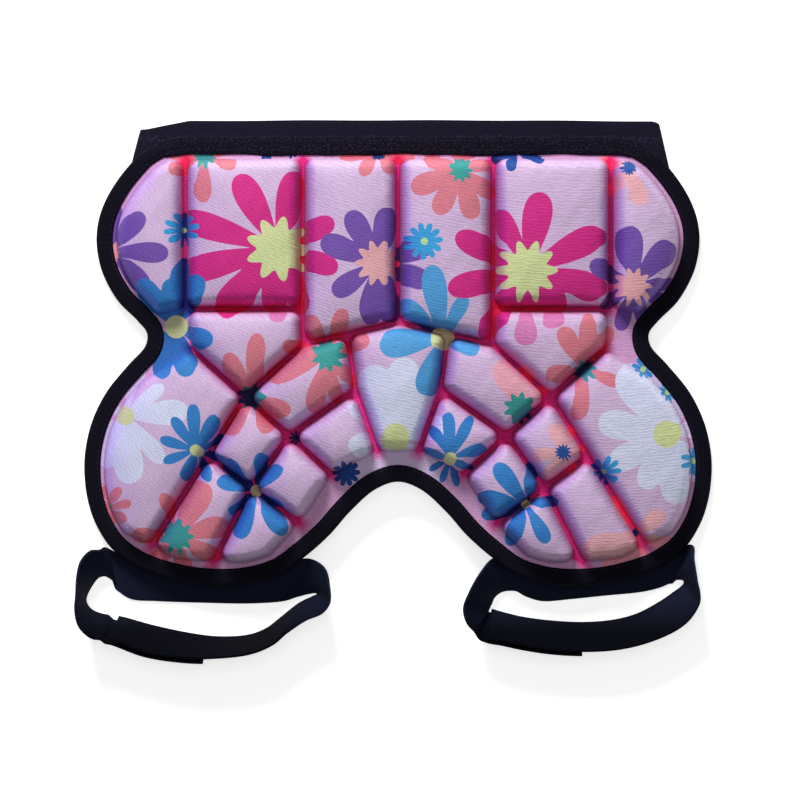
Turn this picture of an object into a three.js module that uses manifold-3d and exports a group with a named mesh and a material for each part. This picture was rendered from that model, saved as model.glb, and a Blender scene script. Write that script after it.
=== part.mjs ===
// Padded hip and tailbone guard, lying on a surface with its foam blocks up.
// Millimetres, +Z up, +X to the wearer's side shown right, +Y towards the waistband.
import * as THREE from "three";
import Module from "manifold-3d";

const wasm = await Module();
wasm.setup();
const { Manifold, Mesh: SolidMesh } = wasm;

// Pad
const PAD_WIDTH = 350;
const PAD_LENGTH = 250;
const PANEL_THICKNESS = 2.4;
const ARCH_RISE = 12;
const CLEARANCE = 0.3;

// Foam blocks
const BLOCK_HEIGHT = 14;
const BLOCK_CROWN = 1.8;
const BLOCK_FILLET = 3;
const BLOCK_DRAFT = 2;
const BLOCK_CORNER_RADIUS = 7;
const CHANNEL_WIDTH = 4;
const WEB_MARGIN = 3.3;

// Edge binding
const BINDING_WIDTH = 9.5;
const BINDING_WALL = 1;
const BINDING_FOLD = 1.3;

// Waistband
const WAISTBAND_WIDTH = 39;
const WAISTBAND_THICKNESS = 1.5;
const WAISTBAND_SHOWN = 9;
const WAISTBAND_SPAN = 290;
const WAISTBAND_FLARE = 8.6;
const WAISTBAND_SKEW = 1;

// Leg straps
const STRAP_WIDTH = 25;
const STRAP_THICKNESS = 1.5;
const STRAP_OVERLAP = 52;
const STRAP_LIFT = 0.8;
const LOOP_SPAN = 140;
const LOOP_DEPTH = 66;
const HOOK_WIDTH = 21;
const HOOK_THICKNESS = 0.9;
const HOOK_LENGTH = 44;
const RAMP_LENGTH = 12;
const RAMP_SHARE = 0.7;

// Fineness of the meshes
const ARCH_STRIPS = 26;
const RIM_STEPS = 2;
const REAR_STEPS = 8;
const FRONT_STEPS = 24;
const FOLD_STEPS = 6;
const LOOP_STEPS = 72;
const TURN_STEP = 0.001;
const EDGE_STEP = 24;
const CORNER_STEP = 0.6;
const MERGE_DISTANCE = 0.2;

const BINDING_HEIGHT = PANEL_THICKNESS + 2 * CLEARANCE + 2 * BINDING_WALL;
const PAD_LIFT = STRAP_THICKNESS + 2 * CLEARANCE;
const HALF_WIDTH = PAD_WIDTH / 2;

// Half outline of the pad at the outer edge of the binding, from the middle of the top edge
// to the middle of the bottom: across is a share of half the width, along of the length.
const OUTLINE_COLUMNS = ["across", "along"];
const OUTLINE = [
  [0.0, 1.0],
  [0.24, 1.0],
  [0.48, 1.0],
  [0.7, 1.0],
  [0.752, 0.991],
  [0.787, 0.979],
  [0.822, 0.962],
  [0.855, 0.938],
  [0.898, 0.9],
  [0.934, 0.857],
  [0.955, 0.815],
  [0.962, 0.772],
  [0.955, 0.728],
  [0.938, 0.69],
  [0.892, 0.634],
  [0.828, 0.589],
  [0.799, 0.562],
  [0.804, 0.535],
  [0.86, 0.491],
  [0.93, 0.431],
  [0.978, 0.362],
  [1.0, 0.288],
  [0.998, 0.223],
  [0.984, 0.174],
  [0.962, 0.134],
  [0.914, 0.083],
  [0.836, 0.043],
  [0.723, 0.015],
  [0.605, 0.002],
  [0.481, 0.005],
  [0.373, 0.027],
  [0.296, 0.065],
  [0.217, 0.114],
  [0.153, 0.165],
  [0.072, 0.215],
  [0.0, 0.232],
];

// Points where the channels between the blocks meet or run out, in the same shares.
const JUNCTION_COLUMNS = ["across", "along"];
const JUNCTIONS = {
  middle_top: [0.0, 0.953],
  middle_low: [0.0, 0.585],
  inner_top: [0.301, 0.953],
  inner_low: [0.301, 0.616],
  outer_top: [0.675, 0.953],
  outer_low: [0.675, 0.616],
  side_tip: [0.765, 0.6],
  heart_top: [0.301, 0.536],
  heart_in: [0.159, 0.56],
  heart_low: [0.135, 0.4375],
  tail_low: [0.064, 0.297],
  waist_out: [0.66, 0.53],
  lobe_high: [0.484, 0.42],
  lobe_mid: [0.344, 0.335],
  lobe_out: [0.602, 0.29],
  lobe_cross: [0.465, 0.219],
  crotch_high: [0.204, 0.2455],
  crotch_low: [0.306, 0.138],
  seat_low: [0.588, 0.05],
  seat_out: [0.785, 0.085],
};

// Corners of each block of the left half in order; a pair of numbers is a stretch of the rim,
// from one row of the outline to another.
const BLOCKS = [
  { name: "01", corners: ["outer_low", "side_tip", [14, 4], "outer_top"] },
  { name: "02", corners: ["inner_low", "outer_low", "outer_top", "inner_top"] },
  { name: "03", corners: ["middle_low", "heart_in", "heart_top", "inner_top", "middle_top"] },
  { name: "04", corners: ["inner_low", "heart_top", "lobe_high", "waist_out", "outer_low"] },
  { name: "05", corners: ["heart_in", "heart_low", "lobe_mid", "lobe_high", "heart_top"] },
  { name: "06", corners: ["heart_low", "tail_low", "crotch_high", "lobe_mid"] },
  { name: "07", corners: ["waist_out", "lobe_high", "lobe_out", "seat_out", [25, 18]] },
  { name: "08", corners: ["lobe_high", "lobe_mid", "lobe_cross", "lobe_out"] },
  { name: "09", corners: ["lobe_mid", "crotch_high", "crotch_low", "lobe_cross"] },
  { name: "10", corners: ["lobe_out", "lobe_cross", "seat_low", [27, 27], "seat_out"] },
  { name: "11", corners: ["lobe_cross", "crotch_low", [30, 29], "seat_low"] },
];
const TAILBONE_CORNERS = ["middle_low", "heart_in", "heart_low", "tail_low"];

// Rings of a block from its foot to the edge of its top: how much of the draft and of the
// fillet each ring is set in by, and the shares of the height and the fillet for its level.
const BLOCK_RING_COLUMNS = ["draft", "fillet", "height", "drop"];
const BLOCK_RINGS = [
  [0, 0, 0, 0],
  [1, 0, 1, 1],
  [1, 0.32, 1, 0.3],
  [1, 1, 1, 0],
];
const CROWN_RING_SHARE = 0.55;
const CROWN_RING_RISE = 0.75;

// Rows of a leg loop once round, seen from above. x and y place the inner rim in shares of the
// loop's span and depth from its outer top corner, z lifts it in strap widths, and the last
// three point from the inner rim to the outer rim.
const LOOP_COLUMNS = ["x", "y", "z", "leanX", "leanY", "leanZ"];
const LOOP_LEFT = [
  [0.157, -0.583, 0.070, -0.123, -0.457, 0.881],
  [0.293, -0.659, 0.070, -0.111, -0.546, 0.830],
  [0.440, -0.726, 0.070, -0.078, -0.490, 0.868],
  [0.547, -0.756, 0.060, -0.033, -0.412, 0.910],
  [0.675, -0.743, 0.040, 0.089, -0.346, 0.934],
  [0.750, -0.684, 0.030, 0.156, -0.296, 0.942],
  [0.802, -0.600, 0.020, 0.178, -0.256, 0.950],
  [0.878, -0.473, 0.020, 0.178, -0.312, 0.933],
  [0.930, -0.418, 0.020, 0.245, -0.301, 0.922],
  [0.949, -0.401, 0.020, 0.301, -0.100, 0.948],
  [0.945, -0.388, 0.020, 0.312, 0.223, 0.924],
  [0.914, -0.397, 0.010, 0.379, 0.624, 0.683],
  [0.874, -0.418, 0.010, 0.253, 0.873, 0.417],
  [0.814, -0.456, 0.005, 0.108, 0.909, 0.402],
  [0.683, -0.475, 0.005, 0.022, 0.934, 0.356],
  [0.484, -0.469, 0.005, 0.000, 0.963, 0.270],
  [0.305, -0.456, 0.005, -0.045, 0.985, 0.169],
  [0.205, -0.439, 0.000, -0.158, 0.983, 0.098],
  [0.153, -0.372, 0.000, -0.229, 0.972, 0.054],
  [0.133, -0.287, 0.000, -0.245, 0.736, 0.631],
  [0.105, -0.245, 0.000, -0.290, 0.602, 0.744],
  [0.074, -0.258, 0.000, -0.301, 0.435, 0.849],
  [0.044, -0.338, 0.005, -0.212, 0.334, 0.918],
  [0.024, -0.431, 0.010, -0.118, 0.156, 0.981],
  [0.030, -0.486, 0.020, -0.172, -0.078, 0.982],
  [0.052, -0.532, 0.040, -0.212, -0.312, 0.926],
  [0.090, -0.562, 0.060, -0.145, -0.490, 0.859],
];
const LOOP_RIGHT = [
  [0.117, -0.511, 0.070, -0.100, -0.613, 0.784],
  [0.177, -0.549, 0.070, -0.100, -0.568, 0.817],
  [0.247, -0.583, 0.070, -0.078, -0.568, 0.819],
  [0.364, -0.614, 0.070, -0.033, -0.593, 0.805],
  [0.488, -0.625, 0.070, 0.011, -0.595, 0.803],
  [0.606, -0.604, 0.060, 0.074, -0.602, 0.795],
  [0.695, -0.555, 0.040, 0.201, -0.586, 0.785],
  [0.778, -0.464, 0.030, 0.343, -0.573, 0.744],
  [0.838, -0.380, 0.020, 0.334, -0.535, 0.776],
  [0.878, -0.317, 0.020, 0.312, -0.323, 0.893],
  [0.888, -0.287, 0.020, 0.245, -0.156, 0.957],
  [0.880, -0.266, 0.020, 0.234, 0.056, 0.971],
  [0.850, -0.274, 0.010, 0.357, 0.524, 0.774],
  [0.830, -0.300, 0.010, 0.474, 0.880, 0.045],
  [0.790, -0.334, 0.000, 0.378, 0.922, 0.087],
  [0.711, -0.372, 0.000, 0.205, 0.966, 0.157],
  [0.571, -0.401, 0.000, 0.090, 0.965, 0.247],
  [0.432, -0.431, 0.000, 0.044, 0.947, 0.317],
  [0.324, -0.448, 0.000, -0.064, 0.928, 0.366],
  [0.257, -0.410, 0.000, -0.303, 0.864, 0.402],
  [0.213, -0.363, 0.000, -0.480, 0.771, 0.418],
  [0.161, -0.367, 0.010, -0.490, 0.502, 0.713],
  [0.129, -0.414, 0.020, -0.591, 0.145, 0.794],
  [0.119, -0.464, 0.030, -0.658, -0.078, 0.749],
  [0.113, -0.490, 0.050, -0.542, -0.334, 0.771],
  [0.113, -0.502, 0.060, -0.334, -0.513, 0.791],
];

const LOOPS = [
  { side: "left", rows: LOOP_LEFT, corner: [-1.0175, 0.0838] },
  { side: "right", rows: LOOP_RIGHT, corner: [0.2054, 0.0816] },
];

// Height of the underside of the binding above the surface: a shallow arch across the pad.
function underside(x) {
  const share = x / HALF_WIDTH;
  return PAD_LIFT + ARCH_RISE * (1 - share * share);
}

// Smooth closed curve through points, with the same number of steps between every two.
function smoothClosed(points, steps) {
  const curve = new THREE.CatmullRomCurve3(
    points.map((p) => new THREE.Vector3(p[0], p[1], 0)),
    true,
    "centripetal"
  );
  const out = [];
  const count = points.length * steps;
  for (let i = 0; i < count; i += 1) {
    const p = curve.getPoint(i / count);
    out.push([p.x, p.y]);
  }
  return out;
}

// Rise from 0 to 1 with level ends.
function smooth(share) {
  const t = Math.min(Math.max(share, 0), 1);
  return t * t * (3 - 2 * t);
}

function place(share) {
  return [share[0] * HALF_WIDTH, (share[1] - 1) * PAD_LENGTH];
}

// Whole outline, anticlockwise, and its inward unit normals.
const rightHalf = OUTLINE.map(place);
const leftHalf = rightHalf.slice(1, -1).map((p) => [-p[0], p[1]]);
const rimRows = [...leftHalf, rightHalf[rightHalf.length - 1], ...rightHalf.slice(0, -1).reverse()];
const rim = smoothClosed(rimRows, RIM_STEPS);

function inwardNormals(points) {
  return points.map((p, i) => {
    const before = points[(i + points.length - 1) % points.length];
    const after = points[(i + 1) % points.length];
    const dx = after[0] - before[0];
    const dy = after[1] - before[1];
    const length = Math.hypot(dx, dy);
    return [-dy / length, dx / length];
  });
}

const rimNormals = inwardNormals(rim);

function insetRim(distance) {
  return rim.map((p, i) => [
    p[0] + rimNormals[i][0] * distance,
    p[1] + rimNormals[i][1] * distance,
  ]);
}

// Point of the right half on the rim, by its row in the outline, set in by a distance.
const blockRim = insetRim(BINDING_WIDTH + WEB_MARGIN - CHANNEL_WIDTH / 2);
function rimPoint(row) {
  return blockRim[(2 * (OUTLINE.length - 1) - 1 - row) * RIM_STEPS];
}

// Closed body from vertices and triangles.
function solid(vertices, faces) {
  const geometry = new THREE.BufferGeometry();
  geometry.setAttribute("position", new THREE.Float32BufferAttribute(vertices.flat(), 3));
  geometry.setIndex(faces.flat());
  geometry.computeVertexNormals();
  return geometry;
}

// Faces of a skin over rings of equal length. Each field is split from its first corner to the
// opposite one, except those named, which are split the other way.
function skin(ringCount, ringLength, closed, otherWay = []) {
  const faces = [];
  const last = closed ? ringCount : ringCount - 1;
  for (let r = 0; r < last; r += 1) {
    const here = r * ringLength;
    const next = ((r + 1) % ringCount) * ringLength;
    for (let i = 0; i < ringLength; i += 1) {
      const j = (i + 1) % ringLength;
      if (otherWay.includes(i)) {
        faces.push([here + i, here + j, next + i]);
        faces.push([here + j, next + j, next + i]);
      } else {
        faces.push([here + i, here + j, next + j]);
        faces.push([here + i, next + j, next + i]);
      }
    }
  }
  return faces;
}

// Convex polygon, anticlockwise, with every edge moved inwards by a distance.
function insetPolygon(points, distance) {
  let result = points;
  points.forEach((a, i) => {
    const b = points[(i + 1) % points.length];
    const length = Math.hypot(b[0] - a[0], b[1] - a[1]);
    const nx = -(b[1] - a[1]) / length;
    const ny = (b[0] - a[0]) / length;
    const depth = (p) => (p[0] - a[0]) * nx + (p[1] - a[1]) * ny - distance;
    const kept = [];
    result.forEach((p, k) => {
      const q = result[(k + 1) % result.length];
      const dp = depth(p);
      const dq = depth(q);
      if (dp >= 0) {
        kept.push(p);
      }
      if (dp * dq < 0) {
        const t = dp / (dp - dq);
        kept.push([p[0] + (q[0] - p[0]) * t, p[1] + (q[1] - p[1]) * t]);
      }
    });
    result = kept;
  });
  return result.filter((p, i) => {
    const q = result[(i + 1) % result.length];
    return Math.hypot(p[0] - q[0], p[1] - q[1]) > MERGE_DISTANCE;
  });
}

// Points of a core polygon with the directions in which they move out when it grows by a
// radius: several at a corner, single ones along an edge.
function coreRays(core) {
  const normals = core.map((p, i) => {
    const q = core[(i + 1) % core.length];
    return Math.atan2(-(q[0] - p[0]), q[1] - p[1]);
  });
  const rays = [];
  core.forEach((p, i) => {
    const from = normals[(i + core.length - 1) % core.length];
    let turn = normals[i] - from;
    while (turn < 0) {
      turn += 2 * Math.PI;
    }
    const steps = Math.ceil(turn / CORNER_STEP);
    for (let k = 0; k <= steps; k += 1) {
      const angle = steps === 1 && turn < CORNER_STEP / 2 ? from + turn / 2 : from + (turn * k) / steps;
      rays.push([p[0], p[1], Math.cos(angle), Math.sin(angle)]);
      if (steps === 1 && turn < CORNER_STEP / 2) {
        break;
      }
    }
    const q = core[(i + 1) % core.length];
    const pieces = Math.ceil(Math.hypot(q[0] - p[0], q[1] - p[1]) / EDGE_STEP);
    for (let k = 1; k < pieces; k += 1) {
      const t = k / pieces;
      rays.push([
        p[0] + (q[0] - p[0]) * t,
        p[1] + (q[1] - p[1]) * t,
        Math.cos(normals[i]),
        Math.sin(normals[i]),
      ]);
    }
  });
  return rays;
}

// Foam block over a cell of the channel plan: drafted walls, a round edge and a crowned top.
function foamBlock(cell) {
  const core = insetPolygon(cell, CHANNEL_WIDTH / 2 + BLOCK_CORNER_RADIUS);
  const rays = coreRays(core);
  const foot = BINDING_WALL + PANEL_THICKNESS + 2 * CLEARANCE;
  const centre = [0, 0];
  rays.forEach((ray) => {
    centre[0] += ray[0] / rays.length;
    centre[1] += ray[1] / rays.length;
  });
  const rings = BLOCK_RINGS.map(([draft, fillet, height, drop]) => {
    const radius = BLOCK_CORNER_RADIUS - draft * BLOCK_DRAFT - fillet * BLOCK_FILLET;
    return rays.map((ray) => {
      const x = ray[0] + ray[2] * radius;
      const y = ray[1] + ray[3] * radius;
      return [x, y, underside(x) + foot + height * BLOCK_HEIGHT - drop * BLOCK_FILLET];
    });
  });
  const edge = rings[rings.length - 1];
  rings.push(
    edge.map((p) => {
      const x = centre[0] + (p[0] - centre[0]) * CROWN_RING_SHARE;
      const y = centre[1] + (p[1] - centre[1]) * CROWN_RING_SHARE;
      return [x, y, underside(x) + foot + BLOCK_HEIGHT + BLOCK_CROWN * CROWN_RING_RISE];
    })
  );
  const count = rays.length;
  const vertices = rings.flat();
  const faces = skin(rings.length, count, false);
  const low = vertices.length;
  const base = underside(centre[0]) + foot;
  vertices.push([centre[0], centre[1], base]);
  vertices.push([centre[0], centre[1], base + BLOCK_HEIGHT + BLOCK_CROWN]);
  const top = (rings.length - 1) * count;
  for (let i = 0; i < count; i += 1) {
    const j = (i + 1) % count;
    faces.push([low, j, i]);
    faces.push([low + 1, top + i, top + j]);
  }
  return solid(vertices, faces);
}

// Cell of the middle block, which is its own mirror image.
function tailboneCell() {
  const half = TAILBONE_CORNERS.map((name) => place(JUNCTIONS[name]));
  const other = half.slice(1).map((p) => [-p[0], p[1]]);
  return [...half.slice(0, 1), ...other, ...half.slice(1).reverse()];
}

// Cell of a block from its corners, on the right half or mirrored to the left.
function cellPolygon(corners, mirrored) {
  const points = corners.flatMap((corner) => {
    if (typeof corner === "string") {
      return [place(JUNCTIONS[corner])];
    }
    const stretch = [];
    for (let row = corner[0]; row >= corner[1]; row -= 1) {
      stretch.push(rimPoint(row));
    }
    return stretch;
  });
  return mirrored ? points.map((p) => [-p[0], p[1]]).reverse() : points;
}

function toManifold(geometry) {
  return new Manifold(
    new SolidMesh({
      numProp: 3,
      vertProperties: new Float32Array(geometry.attributes.position.array),
      triVerts: new Uint32Array(geometry.index.array),
    })
  );
}

function fromManifold(manifold) {
  const mesh = manifold.getMesh();
  const geometry = new THREE.BufferGeometry();
  const stride = mesh.numProp;
  const positions = [];
  for (let i = 0; i < mesh.vertProperties.length; i += stride) {
    positions.push(...mesh.vertProperties.slice(i, i + 3));
  }
  geometry.setAttribute("position", new THREE.Float32BufferAttribute(positions, 3));
  geometry.setIndex(Array.from(mesh.triVerts));
  geometry.computeVertexNormals();
  return geometry;
}

// Laminated panel: the arched sheet cut to the outline inside the binding.
function backingPanel() {
  const outline = insetRim(BINDING_WALL + CLEARANCE);
  const count = outline.length;
  const low = outline.map((p) => [p[0], p[1], -ARCH_RISE]);
  const high = outline.map((p) => [p[0], p[1], PAD_LIFT + 2 * ARCH_RISE]);
  const faces = skin(2, count, false);
  const flat = THREE.ShapeUtils.triangulateShape(
    outline.map((p) => new THREE.Vector2(p[0], p[1])),
    []
  );
  flat.forEach((f) => {
    faces.push([f[0], f[2], f[1]]);
    faces.push([f[0] + count, f[1] + count, f[2] + count]);
  });
  const prism = toManifold(solid([...low, ...high], faces));
  const sheetRings = [-PAD_LENGTH - BINDING_WIDTH, BINDING_WIDTH].map((y) => {
    const under = [];
    const over = [];
    for (let i = 0; i <= ARCH_STRIPS; i += 1) {
      const x = HALF_WIDTH * (1 - (2 * i) / ARCH_STRIPS);
      const z = underside(x) + BINDING_WALL + CLEARANCE;
      under.push([x, y, z]);
      over.unshift([x, y, z + PANEL_THICKNESS]);
    }
    return [...under, ...over];
  });
  const width = 2 * (ARCH_STRIPS + 1);
  const sheetFaces = skin(2, width, false);
  for (let i = 0; i < ARCH_STRIPS; i += 1) {
    const j = width - 1 - i;
    sheetFaces.push([i, j, i + 1], [i + 1, j, j - 1]);
    sheetFaces.push([i + width, i + 1 + width, j + width], [i + 1 + width, j - 1 + width, j + width]);
  }
  const sheet = toManifold(solid(sheetRings.flat(), sheetFaces));
  return fromManifold(Manifold.intersection(prism, sheet));
}

// Tape folded round the edge of the panel.
function edgeBinding() {
  const section = [
    [BINDING_WIDTH, 0],
    [BINDING_WIDTH, BINDING_WALL],
    [BINDING_WALL, BINDING_WALL],
    [BINDING_WALL, BINDING_HEIGHT - BINDING_WALL],
    [BINDING_WIDTH, BINDING_HEIGHT - BINDING_WALL],
    [BINDING_WIDTH, BINDING_HEIGHT],
    [BINDING_FOLD, BINDING_HEIGHT],
    [0, BINDING_HEIGHT - BINDING_FOLD],
    [0, BINDING_FOLD],
    [BINDING_FOLD, 0],
  ];
  const rings = rim.map((p, i) =>
    section.map(([inward, up]) => {
      const x = p[0] + rimNormals[i][0] * inward;
      const y = p[1] + rimNormals[i][1] * inward;
      return [x, y, underside(x) + up];
    })
  );
  return solid(rings.flat(), skin(rings.length, section.length, true));
}

// Section of the waistband at one level: a flat rear layer, a front layer under the arch of the
// pad and a round fold at each end. Gives the outer and the inner line.
function waistbandSection(halfSpan) {
  const half = WAISTBAND_THICKNESS / 2;
  const front = (x) => underside(x) - CLEARANCE - half;
  const radius = (front(halfSpan) - half) / 2;
  const straight = halfSpan - radius - half;
  const line = [];
  for (let i = 0; i < REAR_STEPS; i += 1) {
    line.push([-straight + (2 * straight * i) / REAR_STEPS, half, 0, -1]);
  }
  for (let i = 0; i < FOLD_STEPS; i += 1) {
    const angle = -Math.PI / 2 + (Math.PI * i) / FOLD_STEPS;
    const c = Math.cos(angle);
    const s = Math.sin(angle);
    line.push([straight + radius * c, half + radius * (1 + s), c, s]);
  }
  for (let i = 0; i <= FRONT_STEPS; i += 1) {
    const x = straight * (1 - (2 * i) / FRONT_STEPS);
    const slope = (-2 * ARCH_RISE * x) / (HALF_WIDTH * HALF_WIDTH);
    const length = Math.hypot(slope, 1);
    line.push([x, front(x), -slope / length, 1 / length]);
  }
  for (let i = 1; i < FOLD_STEPS; i += 1) {
    const angle = Math.PI / 2 + (Math.PI * i) / FOLD_STEPS;
    const c = Math.cos(angle);
    const s = Math.sin(angle);
    line.push([-straight + radius * c, half + radius * (1 + s), c, s]);
  }
  const offset = (side) => line.map(([x, z, nx, nz]) => [x + nx * half * side, z + nz * half * side]);
  return { outer: offset(1), inner: offset(-1) };
}

function waistband() {
  const stations = [0, 0.5, 1].map((share) => {
    const y = WAISTBAND_SHOWN - share * WAISTBAND_WIDTH;
    const section = waistbandSection(WAISTBAND_SPAN / 2 + WAISTBAND_FLARE * share);
    const at = ([x, z]) => [x + WAISTBAND_SKEW, y, z];
    return { outer: section.outer.map(at), inner: section.inner.map(at) };
  });
  const outers = stations.map((s) => s.outer);
  const inners = [...stations].reverse().map((s) => s.inner);
  const rings = [...outers, ...inners];
  return solid(rings.flat(), skin(rings.length, rings[0].length, true));
}

// One turn of a leg loop as a closed smooth curve of rows, read at any share of the turn.
function loopCurve(loop) {
  const corner = place(loop.corner);
  const rims = loop.rows.map(
    ([x, y, z]) =>
      new THREE.Vector3(
        corner[0] + x * LOOP_SPAN,
        corner[1] + y * LOOP_DEPTH,
        STRAP_LIFT + z * STRAP_WIDTH
      )
  );
  const leans = loop.rows.map(([, , , x, y, z]) => new THREE.Vector3(x, y, z).normalize());
  const middles = rims.map((p, i) => p.clone().addScaledVector(leans[i], STRAP_WIDTH / 2));
  const middle = new THREE.CatmullRomCurve3(middles, true, "centripetal");
  const lean = new THREE.CatmullRomCurve3(leans, true, "catmullrom", 0.5);
  return (turn) => {
    const t = turn - Math.floor(turn);
    const direction = lean.getPoint(t).normalize();
    const tangent = middle.getTangent(t);
    const out = new THREE.Vector3().crossVectors(tangent, direction).normalize();
    return { point: middle.getPoint(t), direction, out };
  };
}

// Flat band along a loop from one turn to another, standing out from it by a given distance.
// Its rings lie at the same shares of every turn, so layers over each other stay parallel.
function band(curve, from, to, width, thickness, distance) {
  const turns = [from];
  for (let i = Math.floor(from * LOOP_STEPS) + 1; i < to * LOOP_STEPS; i += 1) {
    turns.push(i / LOOP_STEPS);
  }
  turns.push(to);
  const rings = [];
  turns.forEach((turn) => {
    const { point, direction, out } = curve(turn);
    const away = distance(turn);
    const corner = (across, through) => {
      const p = point
        .clone()
        .addScaledVector(direction, (across * width) / 2)
        .addScaledVector(out, away + (through * thickness) / 2);
      return [p.x, p.y, p.z];
    };
    rings.push([corner(-1, 1), corner(-1, -1), corner(1, -1), corner(1, 1)]);
  });
  const faces = skin(rings.length, 4, false, [3]);
  const end = (rings.length - 1) * 4;
  faces.push([0, 2, 1], [0, 3, 2], [end, end + 1, end + 2], [end, end + 2, end + 3]);
  return solid(rings.flat(), faces);
}

// Share of the turn that a length along the band takes from its inner end.
function turnOf(curve, length) {
  let turn = 0;
  let travelled = 0;
  let before = curve(0).point;
  while (travelled < length && turn < 1) {
    turn += TURN_STEP;
    const here = curve(turn).point;
    travelled += here.distanceTo(before);
    before = here;
  }
  return turn;
}

const group = new THREE.Group();
group.name = "tailbone_protector";

function add(name, geometry, material) {
  const mesh = new THREE.Mesh(geometry, new THREE.MeshStandardMaterial(material));
  mesh.name = name;
  group.add(mesh);
}

const CLOTH = { color: "#e3bee0", roughness: 0.85, metalness: 0 };
const FOAM = { color: "#e7b7d6", roughness: 0.85, metalness: 0 };
const KNIT = { color: "#15162b", roughness: 0.9, metalness: 0 };
const ELASTIC = { color: "#1b1d38", roughness: 0.8, metalness: 0 };
const HOOK = { color: "#101120", roughness: 0.9, metalness: 0 };

add("backing_panel", backingPanel(), CLOTH);
add("foam_block_tailbone", foamBlock(tailboneCell()), FOAM);
BLOCKS.forEach((block) => {
  add(`foam_block_left_${block.name}`, foamBlock(cellPolygon(block.corners, true)), FOAM);
  add(`foam_block_right_${block.name}`, foamBlock(cellPolygon(block.corners, false)), FOAM);
});
add("edge_binding", edgeBinding(), KNIT);
add("waistband", waistband(), ELASTIC);
LOOPS.forEach((loop) => {
  const curve = loopCurve(loop);
  const step = STRAP_THICKNESS + 2 * CLEARANCE + HOOK_THICKNESS;
  const overlap = turnOf(curve, STRAP_OVERLAP);
  const ramp = turnOf(curve, RAMP_LENGTH);
  const away = (turn) => step * smooth((turn - 1 + ramp) / (ramp * RAMP_SHARE));
  const strap = band(curve, 0, 1 + overlap, STRAP_WIDTH, STRAP_THICKNESS, away);
  add(`leg_strap_${loop.side}`, strap, ELASTIC);
  const hookStart = turnOf(curve, (STRAP_OVERLAP - HOOK_LENGTH) / 2);
  const hookEnd = turnOf(curve, (STRAP_OVERLAP + HOOK_LENGTH) / 2);
  const start = Math.ceil(hookStart * LOOP_STEPS) / LOOP_STEPS;
  const end = Math.floor(hookEnd * LOOP_STEPS) / LOOP_STEPS;
  const tab = band(curve, start, end, HOOK_WIDTH, HOOK_THICKNESS, () => step / 2);
  add(`hook_tab_${loop.side}`, tab, HOOK);
});

// The middle of the whole part's box, seen from above, goes to the origin.
const box = new THREE.Box3().setFromObject(group);
const middle = box.getCenter(new THREE.Vector3());
group.children.forEach((mesh) => mesh.geometry.translate(-middle.x, -middle.y, 0));

export default group;
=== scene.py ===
"""Padded hip and tailbone guard, laid flat with its foam blocks up and seen from straight above."""

import math

import bpy
import numpy as np
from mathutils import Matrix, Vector
from mathutils.geometry import delaunay_2d_cdt


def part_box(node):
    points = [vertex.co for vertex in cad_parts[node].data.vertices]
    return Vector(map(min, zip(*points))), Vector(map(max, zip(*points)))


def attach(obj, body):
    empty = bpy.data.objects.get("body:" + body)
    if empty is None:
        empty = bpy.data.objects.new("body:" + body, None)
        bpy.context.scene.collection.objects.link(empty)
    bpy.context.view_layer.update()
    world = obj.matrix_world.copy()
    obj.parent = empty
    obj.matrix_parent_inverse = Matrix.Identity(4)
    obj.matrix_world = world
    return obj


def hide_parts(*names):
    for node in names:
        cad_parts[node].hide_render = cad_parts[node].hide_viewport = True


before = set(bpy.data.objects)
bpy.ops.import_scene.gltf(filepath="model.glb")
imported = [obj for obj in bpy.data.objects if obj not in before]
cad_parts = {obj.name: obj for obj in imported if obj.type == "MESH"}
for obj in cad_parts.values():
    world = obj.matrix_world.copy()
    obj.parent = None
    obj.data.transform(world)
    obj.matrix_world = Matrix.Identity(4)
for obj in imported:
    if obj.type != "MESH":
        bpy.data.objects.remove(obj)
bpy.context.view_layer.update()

# Camera
# Straight above the guard and far away, so that the outline is hardly drawn in perspective.
# The picture's middle lies a little off the middle of the part.

CAMERA_DISTANCE = 1.8
PICTURE_WIDTH = 0.4459
PICTURE_PLANE = 0.008

camera = bpy.data.objects.new("camera", bpy.data.cameras.new("camera"))
bpy.context.scene.collection.objects.link(camera)
camera.data.sensor_width = 36.0
camera.data.lens = 36.0 * CAMERA_DISTANCE / PICTURE_WIDTH
camera.data.clip_end = 20.0
camera.location = (0.00295, -0.00465, PICTURE_PLANE + CAMERA_DISTANCE)
bpy.context.scene.camera = camera

# Padded cover
# One printed knit cloth, moulded over all foam blocks and down into the channels between them,
# closed below by a plain knit. Each block is a stack of rings that grow out of the core of its
# cell; the flat web between the blocks and the rim is triangulated from the rings' edges.

HALF_WIDTH = 175.0
PAD_LENGTH = 250.0
ARCH_RISE = 12.0
PAD_LIFT = 2.1
WEB_LEVEL = 3.75
UNDER_LEVEL = 1.3
BINDING_WIDTH = 9.5
WEB_MARGIN = 3.3
CHANNEL_WIDTH = 4.0
CORNER_RADIUS = 5.0
BLOCK_HEIGHT = 12.4
CROWN = 5.8
# Painted shade in the channels: its share where a channel opens out, and how high up a wall it
# reaches.
OPEN_CHANNEL_SHADE = 0.12
CHANNEL_SHADE_HEIGHT = 11.0

low, high = (np.array(v) * 1000 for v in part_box("edge_binding"))
PAD_X = (low[0] + high[0]) / 2
PAD_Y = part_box("waistband")[1][1] * 1000 - 9.0

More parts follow.
